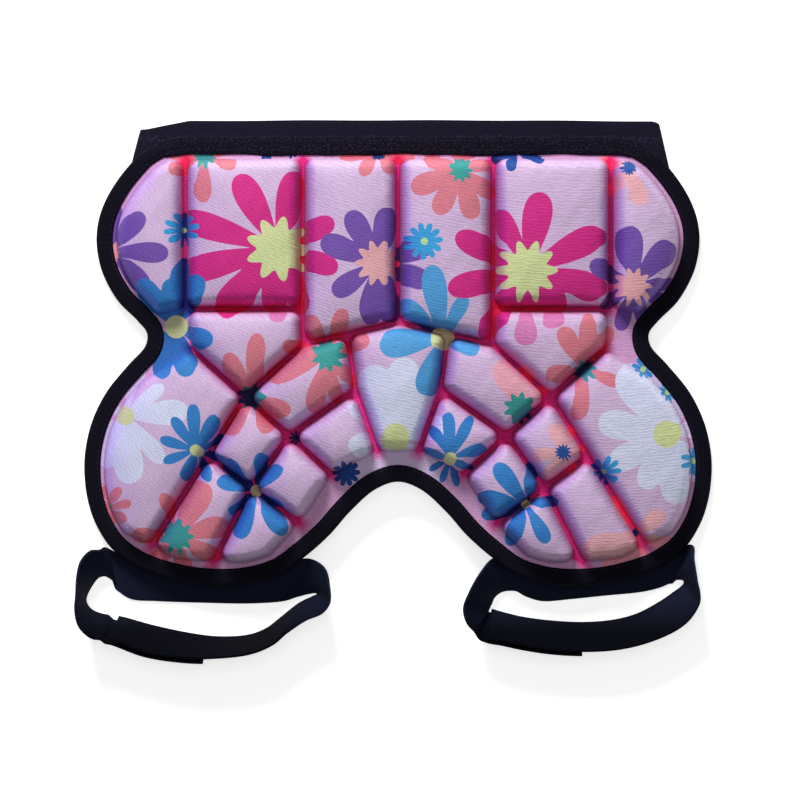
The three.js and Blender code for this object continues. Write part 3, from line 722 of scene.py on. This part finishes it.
def petal_lengths(petals, width):
    """Outline of a daisy at each angle: the furthest of its petals. A petal starts narrow at the
    middle, is widest at about two thirds of its length and has a round tip."""
    angle = np.linspace(-180, 180, CURVE_STEPS + 1)
    reach = np.zeros(len(angle))
    along = np.linspace(1, 0.002, 80)
    for towards, length, *own in petals:
        wide = length * (own[0] if own else width)
        side = wide / 2 * along**0.8 * np.sqrt(1 - along**3.2) / 0.63
        turn = np.abs((angle - towards + 180) % 360 - 180)
        seen = np.degrees(np.arctan2(side, along * length))
        out = np.interp(turn, seen, np.hypot(side, along * length), right=0.0)
        reach = np.maximum(reach, out)
    return reach


def rib_height(tree, spot, across, along):
    """Height of a knit with fine ribs across the cloth that wander and break off."""
    wander = noise(tree, spot, (0.16, 0.5, 0.0), 2.0)
    phase = times(tree, along, 2 * math.pi / RIB_PITCH, times(tree, wander, 14.0))
    tilt = times(tree, across, -0.0045, 0.95)
    rib = calc(tree, "SINE", times(tree, across, tilt, phase))
    patch = noise(tree, spot, (0.3, 0.9, 0.0), 3.0)
    patch = times(tree, patch, 3.0, -1.0, clamp=True)
    grain = noise(tree, spot, (1.0, 2.6, 0.0), 2.0)
    height = times(tree, times(tree, rib, patch), 0.5, 0.5)
    return times(tree, grain, 0.9, height)


printed, tree, surface = new_material("printed_knit", 0.6, 0.05)
spot = read_attribute(tree, "print")
across, along, shade_by_depth = split(tree, spot)
colour = linear(GROUND)
pale = 0.0
level = vector_calc(tree, "MULTIPLY", spot, (1.0, 1.0, 0.0))
for kind, x, y, disc, points_round, width, *rest in DAISIES:
    if len(rest) == 1:
        petals = rest[0]
    else:
        petals = [(rest[2] + 360 * k / rest[0], rest[1]) for k in range(rest[0])]
    from_middle = vector_calc(tree, "SUBTRACT", level, (x, y, 0.0))
    length = vector_calc(tree, "LENGTH", from_middle, (0.0, 0.0, 0.0), 1)
    parts = split(tree, from_middle)
    angle = calc(tree, "ARCTAN2", parts[1], parts[0])
    share = times(tree, angle, 0.5 / math.pi, 0.5)
    curve = tree.nodes.new("ShaderNodeFloatCurve")
    line = curve.mapping.curves[0]
    reach = petal_lengths(petals, width) / LONGEST
    while len(line.points) < len(reach):
        line.points.new(0.5, 0.5)
    for i, value in enumerate(reach):
        line.points[i].location = (i / CURVE_STEPS, value)
        line.points[i].handle_type = "VECTOR"
    curve.mapping.update()
    feed(tree, curve.inputs["Value"], share)
    petal_edge = times(tree, curve.outputs[0], LONGEST)
    wave = calc(tree, "COSINE", times(tree, angle, float(max(points_round, 1))))
    depth = disc * (DISC_POINT_DEPTH if points_round else 0.0)
    disc_edge = times(tree, wave, depth, disc)
    for edge, code in zip((petal_edge, disc_edge), DAISY_COLOURS[kind]):
        inside = calc(tree, "SUBTRACT", edge, length)
        mask = times(tree, inside, 1 / EDGE_SOFTNESS, 0.5, clamp=True)
        colour = blend(tree, mask, colour, linear(code))
    if code in PALE_DISCS:
        pale = calc(tree, "MAXIMUM", pale, mask)
height = rib_height(tree, spot, across, along)
# The ribs' tone: partly the knit's own lighter thread, partly painted highlight along the rib
# crests.
colour = shaded(tree, colour, times(tree, height, RIB_TONE_AND_SHEEN, 0.73))

# Painted shade: slopes that face left are darkened towards violet. Towards a channel painted shade
# turns the cloth rosy, then crimson, but the pale discs keep most of their colour.
facing = split(tree, tree.nodes.new("ShaderNodeTexCoord").outputs["Normal"])
# Painted shade: the more a slope faces left, the more violet it is painted.
away = times(tree, facing[0], -1.5, -0.15, clamp=True)
violet_shade = blend(tree, 1.0, colour, LEFT_SLOPE_SHADE, "MULTIPLY")
colour = blend(tree, times(tree, away, LEFT_SLOPE_SHADE_SHARE), colour, violet_shade)
shade_gamma = tree.nodes.new("ShaderNodeGamma")
shade_gamma.inputs["Gamma"].default_value = CHANNEL_SHADE_GAMMA
feed(tree, shade_gamma.inputs["Color"], colour)
crimson_shade = blend(tree, 1.0, shade_gamma.outputs[0], CHANNEL_SHADE_COLOUR, "MULTIPLY")
crimson_shade = vector_calc(tree, "ADD", crimson_shade, CHANNEL_SHADE_LEAST)
shade_allowed = times(tree, pale, -PALE_DISC_KEEPS, 1.0)
painted_shade = times(tree, shade_by_depth, shade_allowed, clamp=True)
rosy_shade = blend(tree, 1.0, colour, EDGE_SHADE_COLOUR, "MULTIPLY")
rosy_shade_share = times(tree, calc(tree, "POWER", painted_shade, 0.5), EDGE_SHADE_SHARE)
colour = blend(tree, painted_shade, blend(tree, rosy_shade_share, colour, rosy_shade), crimson_shade)
tree.links.new(colour, surface.inputs["Base Color"])
bump(tree, surface, height, 0.0004, 0.45)

under, tree, surface = new_material("plain_knit", 0.85, 0.2)
surface.inputs["Base Color"].default_value = linear("#20203A")
spot = read_attribute(tree, "print")
across, along, _ = split(tree, spot)
bump(tree, surface, rib_height(tree, spot, across, along), 0.0002, 0.6)
cover.data.materials.append(printed)
cover.data.materials.append(under)

# Edge binding
# Dark knit tape folded over the rim of the pad and sewn through. Swept along the rim: a rounded
# fold, a domed top, and an edge that gathers a little between the stitches.

BINDING_HEIGHT = 5.0
FOLD_RADIUS = 2.1
STITCH_STEP = 3.1
FOLD_STEPS = 7
TOP_EXTRA = 1.4
CROSS_PITCH = 0.9
SPECK_FADE = 2.0
SPECK_LIGHT = 15.0
SPECK_HEIGHT = 3.0


def dark_knit(name, colour, ribs, pitch, depth, speckled=None, painted_light=None):
    """Dark tape or webbing. ribs is 1 for ribs along the piece and 0 for rows across it;
    speckled is the stretch along the object, in mm, where the stitching shows as light specks,
    and painted_light is the stretch over which its tone rises, as painted light."""
    material, tree, surface = new_material(name, 0.8, 0.0)
    surface.inputs["Specular IOR Level"].default_value = 0.04
    spot = read_attribute(tree, "weave")
    run, across, _ = split(tree, spot)
    main, other = (across, run) if ribs else (run, across)
    main = calc(tree, "SINE", times(tree, main, 2 * math.pi / pitch))
    other = calc(tree, "SINE", times(tree, other, 2 * math.pi / CROSS_PITCH))
    grain = noise(tree, spot, (0.9, 1.6, 1.0), 3.0)
    height = times(tree, main, 0.3, times(tree, other, 0.12))
    height = times(tree, grain, 0.8, height)
    tone = times(tree, height, 0.5, 0.7)
    where = split(tree, tree.nodes.new("ShaderNodeTexCoord").outputs["Object"])

    def rise(start, end):
        """0 up to start and 1 from end on, along the object in mm."""
        size = end - start
        return times(tree, where[1], 1000 / size, -start / size, clamp=True)

    # Painted light: the tone goes from 0.7 to 4.7 times over this stretch along the object.
    if painted_light:
        tone = times(tree, tone, times(tree, rise(*painted_light), 4.0, 0.7))
    if speckled:
        dots = tree.nodes.new("ShaderNodeTexVoronoi")
        feed(tree, dots.inputs["Vector"], vector_calc(tree, "MULTIPLY", spot, (0.9, 1.3, 0.0)))
        dots.inputs["Scale"].default_value = 1.0
        dot = times(tree, dots.outputs["Distance"], -3.4, 1.15, clamp=True)
        dot = times(tree, dot, noise(tree, spot, (0.21, 0.21, 0.21), 2.0))
        for end, fade in zip(speckled, (SPECK_FADE, -SPECK_FADE)):
            dot = times(tree, dot, rise(end, end + fade))
        tone = times(tree, dot, SPECK_LIGHT, tone)
        height = times(tree, dot, SPECK_HEIGHT, height)
    tree.links.new(shaded(tree, linear(colour), tone), surface.inputs["Base Color"])
    bump(tree, surface, height, depth, 0.9)
    return material


def ring_attribute(piece, name, run, across, total):
    """Run along and place across of each face corner of a closed sweep; the last ring's faces
    end at the full run instead of at none."""
    columns = len(across)
    corner = np.zeros(len(piece.data.loops), int)
    piece.data.loops.foreach_get("vertex_index", corner)
    ring = corner // columns
    last = np.repeat(np.arange(len(piece.data.polygons)) >= (len(run) - 1) * columns, 4)
    value = np.where(last & (ring == 0), total, run[ring])
    layer = piece.data.attributes.new(name, "FLOAT_VECTOR", "CORNER")
    full = np.column_stack([value, across[corner % columns], np.zeros(len(corner))])
    layer.data.foreach_set("vector", full.ravel())


# The tape's section: how far in from the rim and how high, in mm, from its lower edge round
# the fold to its upper edge and back inside.
section = [(9.3, 0.25), (9.0, 0.0), (7.0, 0.0), (5.0, 0.0), (3.4, 0.0)]
for angle in np.radians(np.linspace(-90, -270, 2 * FOLD_STEPS + 1)):
    up = BINDING_HEIGHT / 2 * (1 + math.sin(angle))
    section.append((FOLD_RADIUS * (1 + math.cos(angle)), up))
section += [
    (3.4, 5.12), (4.8, 5.2), (6.2, 5.16), (7.6, 5.02), (8.7, 4.8), (9.3, 4.45), (9.4, 4.15),
    (9.0, 4.0), (6.0, 4.0), (3.0, 4.0), (1.1, 3.9), (1.0, 2.5), (1.1, 1.1), (3.0, 1.0),
    (6.0, 1.0), (9.0, 1.0),
]
section = np.array(section)
*rim_run, rim_total = lengths_along(np.concatenate([rim, rim[:1]]))
rim_run = np.array(rim_run)
gather = np.sin(rim_run * 2 * math.pi / STITCH_STEP)[:, None]
slow = np.sin(rim_run * 0.11)[:, None] + 0.6 * np.sin(rim_run * 0.29 + 1.0)[:, None]
on_top = np.clip((section[:, 1] - 4.1) / 0.8, 0, 1)[None]
near_edge = np.clip((section[:, 0] - 5) / 4, 0, 1)[None]
straight = np.clip((-rim_in[:, 1] - 0.9) / 0.1, 0, 1) * (rim[:, 1] > PAD_Y - 3)
wider = straight * (TOP_EXTRA + 0.4 * np.sin(rim_run * 0.083) + 0.25 * np.sin(rim_run * 0.21 + 2))
wavy = on_top * near_edge * (0.12 * gather + 0.22 * slow)
inward_by = section[:, 0][None] + wider[:, None] * near_edge + wavy
up = section[:, 1][None] + on_top * (0.05 * gather + 0.06 * slow)
ring_x = rim[:, 0][:, None] + rim_in[:, 0][:, None] * inward_by
ring_y = rim[:, 1][:, None] + rim_in[:, 1][:, None] * inward_by
binding_points = np.stack([ring_x, ring_y, underside(ring_x) + up], axis=2)
binding = mesh_object(
    "binding", binding_points.reshape(-1, 3), grid_faces(len(rim), len(section), True, flip=True)
)
ring_attribute(binding, "weave", rim_run, lengths_along(section), rim_total)
binding.data.materials.append(
    dark_knit("binding_knit", "#15131E", 0, 1.1, 0.00012, speckled=(PAD_Y - 12.0, PAD_Y + 2.0))
)
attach(binding, "root")
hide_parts("edge_binding")

# Stitches
# Thread that holds the binding: two rows along the straight top edge and one round the rest,
# each stitch a short capsule pressed into the tape.

STITCH_SHAPE = [(-1.0, 0.0), (-0.85, 0.6), (-0.4, 0.95), (0.4, 0.95), (0.85, 0.6), (1.0, 0.0)]
STITCH_SIDES = 6
STITCH_LENGTH = 2.1
STITCH_WIDTH = 0.55
TOP_SEAM_DEPTH = 9.5


def stitches(name, rows):
    """One mesh of capsules. A row is middles, unit runs and unit sides."""
    vertices, faces = [], []
    for middles, run, side in rows:
        for p, t, s, u in zip(middles, run, side, np.cross(run, side)):
            faces += grid_faces(len(STITCH_SHAPE), STITCH_SIDES, False, True, len(vertices))
            for along_by, girth in STITCH_SHAPE:
                middle = p + t * along_by * STITCH_LENGTH / 2
                for k in range(STITCH_SIDES):
                    angle = 2 * math.pi * k / STITCH_SIDES
                    ring = s * math.cos(angle) + u * math.sin(angle) * 0.7
                    vertices.append(middle + ring * girth * STITCH_WIDTH / 2)
    return mesh_object(name, vertices, faces)


def row_on_rim(inward_by, height, keep):
    """Middles and frames of stitches at a distance in from the rim, where keep allows."""
    line = rim + rim_in * inward_by
    closed = np.concatenate([line, line[:1]])
    run = lengths_along(closed)
    at = np.arange(0, run[-1], STITCH_STEP)

    def on_line(at):
        x, y = (np.interp(at, run, closed[:, k]) for k in (0, 1))
        return np.column_stack([x, y, underside(x) + height])

    middles = on_line(at)
    t = unit(on_line(at + 0.5) - middles)
    side = unit(np.cross([0.0, 0.0, 1.0], t))
    chosen = keep(middles)
    return middles[chosen], t[chosen], side[chosen]


seams = [
    row_on_rim(2.9, 5.12, lambda p: p[:, 1] > PAD_Y - TOP_SEAM_DEPTH),
    row_on_rim(7.9, 5.0, lambda p: np.full(len(p), True)),
]
thread = stitches("binding_thread", seams)
thread_look, tree, surface = new_material("thread", 0.85, 0.0)
surface.inputs["Base Color"].default_value = linear("#20202E")
thread.data.materials.append(thread_look)
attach(thread, "root")

# Waistband
# Flat tube of wide ribbed elastic, its front layer sewn under the pad's top edge and its rear
# layer lying flat. A line round the tube is swept across the width; both selvedges are round.

BAND_SHOWN = 9.0
BAND_WIDTH = 39.0
BAND_SPAN = 290.0
BAND_FLARE = 8.6
BAND_SKEW = 1.0
BAND_THICKNESS = 1.5
BAND_ACROSS = 40
LAYER_STEPS = 180
TURN_COUNT = 24
WEAVE_CLOSING = 1.6
# How far the upper corners droop, in mm, at places across.
DROOP_AT = [-141.4, -117.4, 141.0, 147.8]
DROOP = [4.4, 0.0, 0.0, 2.0]
CLEARANCE = 0.3


def band_line(half_span):
    """Middle line of the tube at one level, with its outward normals: rear layer, fold, front
    layer, fold."""
    front = lambda x: underside(x + PAD_X) - CLEARANCE - BAND_THICKNESS / 2
    radius = (front(half_span) - BAND_THICKNESS / 2) / 2
    straight = half_span - radius - BAND_THICKNESS / 2
    x = np.linspace(-straight, straight, LAYER_STEPS + 1)[:-1]
    rows = [np.column_stack([x, np.full(len(x), BAND_THICKNESS / 2), 0 * x, 0 * x - 1])]
    angle = np.linspace(-math.pi / 2, math.pi / 2, TURN_COUNT + 1)[:-1]
    c, s = np.cos(angle), np.sin(angle)
    middle = BAND_THICKNESS / 2 + radius
    rows.append(np.column_stack([straight + radius * c, middle + radius * s, c, s]))
    x = -x
    slope = -2 * ARCH_RISE * x / HALF_WIDTH**2
    size = np.hypot(slope, 1)
    rows.append(np.column_stack([x, front(x), -slope / size, 1 / size]))
    rows.append(np.column_stack([-straight - radius * c, middle - radius * s, -c, -s]))
    return np.concatenate(rows)


# The elastic's section: how far down across its width, and through it, 1 outside and -1 inside.
half_thick = BAND_THICKNESS / 2
edge_angle = np.radians(np.linspace(-80, 80, 7))
edges = [(half_thick * (1 - math.cos(a)) * 0.9, math.sin(a)) for a in edge_angle]
shares = np.linspace(0.02, 0.98, BAND_ACROSS)
band_section = [(depth, -through) for depth, through in edges]
band_section += [(s * BAND_WIDTH, 1.0) for s in shares]
band_section += [(BAND_WIDTH - depth, through) for depth, through in edges[::-1]]
band_section += [(s * BAND_WIDTH, -1.0) for s in shares[::-1]]
columns = []
for across_by, through in band_section:
    line = band_line(BAND_SPAN / 2 + BAND_FLARE * across_by / BAND_WIDTH)
    x = line[:, 0] + line[:, 2] * half_thick * through
    z = line[:, 1] + line[:, 3] * half_thick * through
    fade = (1 - across_by / BAND_WIDTH) ** 2
    droop = np.interp(x, DROOP_AT, DROOP) * fade
    y = PAD_Y + BAND_SHOWN - across_by - droop + 0.12 * np.sin(x * 0.09) * fade
    columns.append(np.stack([x + PAD_X + BAND_SKEW, y, z], axis=1))
band_points = np.stack(columns, axis=1)
band_run = lengths_along(band_points[:, 0])
waistband = mesh_object(
    "waistband_elastic", band_points.reshape(-1, 3),
    grid_faces(len(band_points), len(band_section), True),
)
across_mm = np.array([a for a, _ in band_section])
ring_attribute(waistband, "weave", band_run, across_mm, band_run[-1] + WEAVE_CLOSING)
waistband.data.materials.append(
    dark_knit("wide_elastic", "#201E2E", 1, 1.1, 0.00014, speckled=(PAD_Y - 4.0, PAD_Y + 1.5))
)
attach(waistband, "root")
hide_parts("waistband")

# Leg straps
# Two loops of ribbed elastic standing on edge, each closed by a hook tab between its overlapping
# ends. A loop is a closed curve of rows; each row also says how the strap leans there.

STRAP_WIDTH = 25.0
STRAP_THICKNESS = 1.5
STRAP_OVERLAP = 52.0
STRAP_LIFT = 0.8
LOOP_SPAN = 140.0
LOOP_DEPTH = 66.0
HOOK_WIDTH = 21.0
HOOK_THICKNESS = 0.9
HOOK_LENGTH = 44.0
RAMP_LENGTH = 12.0
RAMP_SHARE = 0.7
LOOP_POINTS = 1440

# Columns, in thousandths: across, along and height of the strap's lower edge, as shares of the
# loop's span, its depth and the strap's width, and the strap's lean across, along and up.
LEFT_ROWS = [
    (157, -583, 70, -123, -457, 881), (293, -659, 70, -111, -546, 830),
    (440, -726, 70, -78, -490, 868), (547, -756, 60, -33, -412, 910),
    (675, -743, 40, 89, -346, 934), (750, -684, 30, 156, -296, 942),
    (802, -600, 20, 178, -256, 950), (878, -473, 20, 178, -312, 933),
    (930, -418, 20, 245, -301, 922), (949, -401, 20, 301, -100, 948),
    (945, -388, 20, 312, 223, 924), (914, -397, 10, 379, 624, 683),
    (874, -418, 10, 253, 873, 417), (814, -456, 5, 108, 909, 402),
    (683, -475, 5, 22, 934, 356), (484, -469, 5, 0, 963, 270),
    (305, -456, 5, -45, 985, 169), (205, -439, 0, -158, 983, 98),
    (153, -372, 0, -229, 972, 54), (133, -287, 0, -245, 736, 631),
    (105, -245, 0, -290, 602, 744), (74, -258, 0, -301, 435, 849),
    (44, -338, 5, -212, 334, 918), (24, -431, 10, -118, 156, 981),
    (30, -486, 20, -172, -78, 982), (52, -532, 40, -212, -312, 926),
    (90, -562, 60, -145, -490, 859),
]
RIGHT_ROWS = [
    (117, -511, 70, -100, -613, 784), (177, -549, 70, -100, -568, 817),
    (247, -583, 70, -78, -568, 819), (364, -614, 70, -33, -593, 805),
    (488, -625, 70, 11, -595, 803), (606, -604, 60, 74, -602, 795),
    (695, -555, 40, 201, -586, 785), (778, -464, 30, 343, -573, 744),
    (838, -380, 20, 334, -535, 776), (878, -317, 20, 312, -323, 893),
    (888, -287, 20, 245, -156, 957), (880, -266, 20, 234, 56, 971),
    (850, -274, 10, 357, 524, 774), (830, -300, 10, 474, 880, 45),
    (790, -334, 0, 378, 922, 87), (711, -372, 0, 205, 966, 157),
    (571, -401, 0, 90, 965, 247), (432, -431, 0, 44, 947, 317),
    (324, -448, 0, -64, 928, 366), (257, -410, 0, -303, 864, 402),
    (213, -363, 0, -480, 771, 418), (161, -367, 10, -490, 502, 713),
    (129, -414, 20, -591, 145, 794), (119, -464, 30, -658, -78, 749),
    (113, -490, 50, -542, -334, 771), (113, -502, 60, -334, -513, 791),
]
LOOP_CORNERS = {"left": (-1.0175, 0.0838), "right": (0.2054, 0.0816)}


def smooth_step(share):
    share = np.clip(share, 0, 1)
    return share * share * (3 - 2 * share)


def rounded_band(width, thickness, across_count):
    """Section of a flat band with round selvedges: across and through, as closed points."""
    half = thickness / 2
    end = width / 2 - half
    flat = np.linspace(-end, end, across_count)
    bend = np.radians(np.linspace(90, -90, 9))[1:-1]
    points = [(a, half) for a in flat]
    points += [(end + half * math.cos(b), half * math.sin(b)) for b in bend]
    return np.array(points + [(-a, -b) for a, b in points])


def swept_band(name, stations, section):
    """Band along stations of (point, lean, out), closed at both ends."""
    points, lean, out = stations
    run = lengths_along(points)
    ring = points[:, None] + lean[:, None] * section[:, :1] + out[:, None] * section[:, 1:]
    rows, columns = ring.shape[:2]
    faces = grid_faces(rows, columns, False)
    faces.append(list(range(columns))[::-1])
    faces.append([(rows - 1) * columns + k for k in range(columns)])
    piece = mesh_object(name, ring.reshape(-1, 3), faces)
    weave = np.stack(np.broadcast_arrays(run[:, None], section[None, :, 0]), axis=2)
    point_attribute(piece, "weave", weave.reshape(-1, 2))
    return piece


# Painted light and shade on the straps: each loop lighter on its side towards the pad, darker on
# the side away from it.
strap_look = dark_knit("strap_elastic", "#090B16", 1, 1.5, 0.00022, painted_light=(-133.0, -114.0))
hook_look = dark_knit("hook_tape", "#0E0E16", 0, 1.2, 0.0004)
for side, rows in (("left", LEFT_ROWS), ("right", RIGHT_ROWS)):
    rows = np.array(rows) / 1000
    corner = place(LOOP_CORNERS[side])
    feet = np.column_stack([
        corner[0] + rows[:, 0] * LOOP_SPAN,
        corner[1] + rows[:, 1] * LOOP_DEPTH,
        STRAP_LIFT + rows[:, 2] * STRAP_WIDTH,
    ])
    leans = unit(rows[:, 3:])
    middle = closed_curve(feet + leans * STRAP_WIDTH / 2, LOOP_POINTS)
    lean = unit(closed_curve(leans, LOOP_POINTS, even_knots=True))
    tangent = unit(np.roll(middle, -1, axis=0) - np.roll(middle, 1, axis=0))
    out = unit(np.cross(tangent, lean))
    layer = STRAP_THICKNESS + 2 * CLEARANCE + HOOK_THICKNESS
    travelled = lengths_along(middle)
    overlap = int(np.searchsorted(travelled, STRAP_OVERLAP))
    ramp = int(np.searchsorted(travelled, RAMP_LENGTH))
    index = np.arange(LOOP_POINTS + overlap)
    away = layer * smooth_step((index - LOOP_POINTS + ramp) / (ramp * RAMP_SHARE))
    at = index % LOOP_POINTS
    stations = (middle[at] + out[at] * away[:, None], lean[at], out[at])
    strap = swept_band(
        "leg_strap_" + side + "_elastic", tuple(v[::2] for v in stations),
        rounded_band(STRAP_WIDTH, STRAP_THICKNESS, 24),
    )
    strap.data.materials.append(strap_look)
    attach(strap, "root")
    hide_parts("leg_strap_" + side)

    ends = (STRAP_OVERLAP + np.array([-HOOK_LENGTH, HOOK_LENGTH])) / 2
    at = np.arange(*np.searchsorted(travelled, ends))
    tab = swept_band(
        "hook_tape_" + side, (middle[at] + out[at] * layer / 2, lean[at], out[at]),
        rounded_band(HOOK_WIDTH, HOOK_THICKNESS, 16),
    )
    tab.data.materials.append(hook_look)
    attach(tab, "root")
    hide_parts("hook_tab_" + side)

# Floor and light
# A plain pale floor, a wide soft light from the waistband's side, a weaker one from the foot of
# the pad and an even bright surround.

FLOOR_REACH = 4000.0
LIGHT_SHARE = 0.92

corner_signs = [(-1, -1, 0), (1, -1, 0), (1, 1, 0), (-1, 1, 0)]
floor = mesh_object("floor", np.array(corner_signs) * FLOOR_REACH, [(0, 1, 2, 3)])
floor_look = bpy.data.materials.new("floor_paper")
floor_look.use_nodes = True
surface = floor_look.node_tree.nodes["Principled BSDF"]
surface.inputs["Base Color"].default_value = (LIGHT_SHARE, LIGHT_SHARE, LIGHT_SHARE, 1)
surface.inputs["Roughness"].default_value = 0.9
surface.inputs["Emission Color"].default_value = (1, 1, 1, 1)
surface.inputs["Emission Strength"].default_value = 0.68
floor.data.materials.append(floor_look)

world = bpy.data.worlds.new("studio")
world.use_nodes = True
surround = world.node_tree.nodes["Background"]
surround.inputs["Color"].default_value = (1, 1, 1, 1)
surround.inputs["Strength"].default_value = 0.12
bpy.context.scene.world = world


def soft_light(name, location, size, energy):
    """Square light that faces the middle of the guard."""
    light = bpy.data.lights.new(name, "AREA")
    light.size = size
    light.energy = energy
    lamp = bpy.data.objects.new(name, light)
    bpy.context.scene.collection.objects.link(lamp)
    lamp.location = location
    lamp.rotation_euler = (-Vector(location)).to_track_quat("-Z", "Y").to_euler()


soft_light("key", (-0.35, 1.3, 0.95), 0.5, 25.5)
soft_light("top", (0.0, 0.3, 1.9), 0.8, 5.0)
soft_light("fill", (0.2, -1.4, 1.3), 1.0, 1.8)

bpy.context.scene.view_settings.view_transform = "Standard"
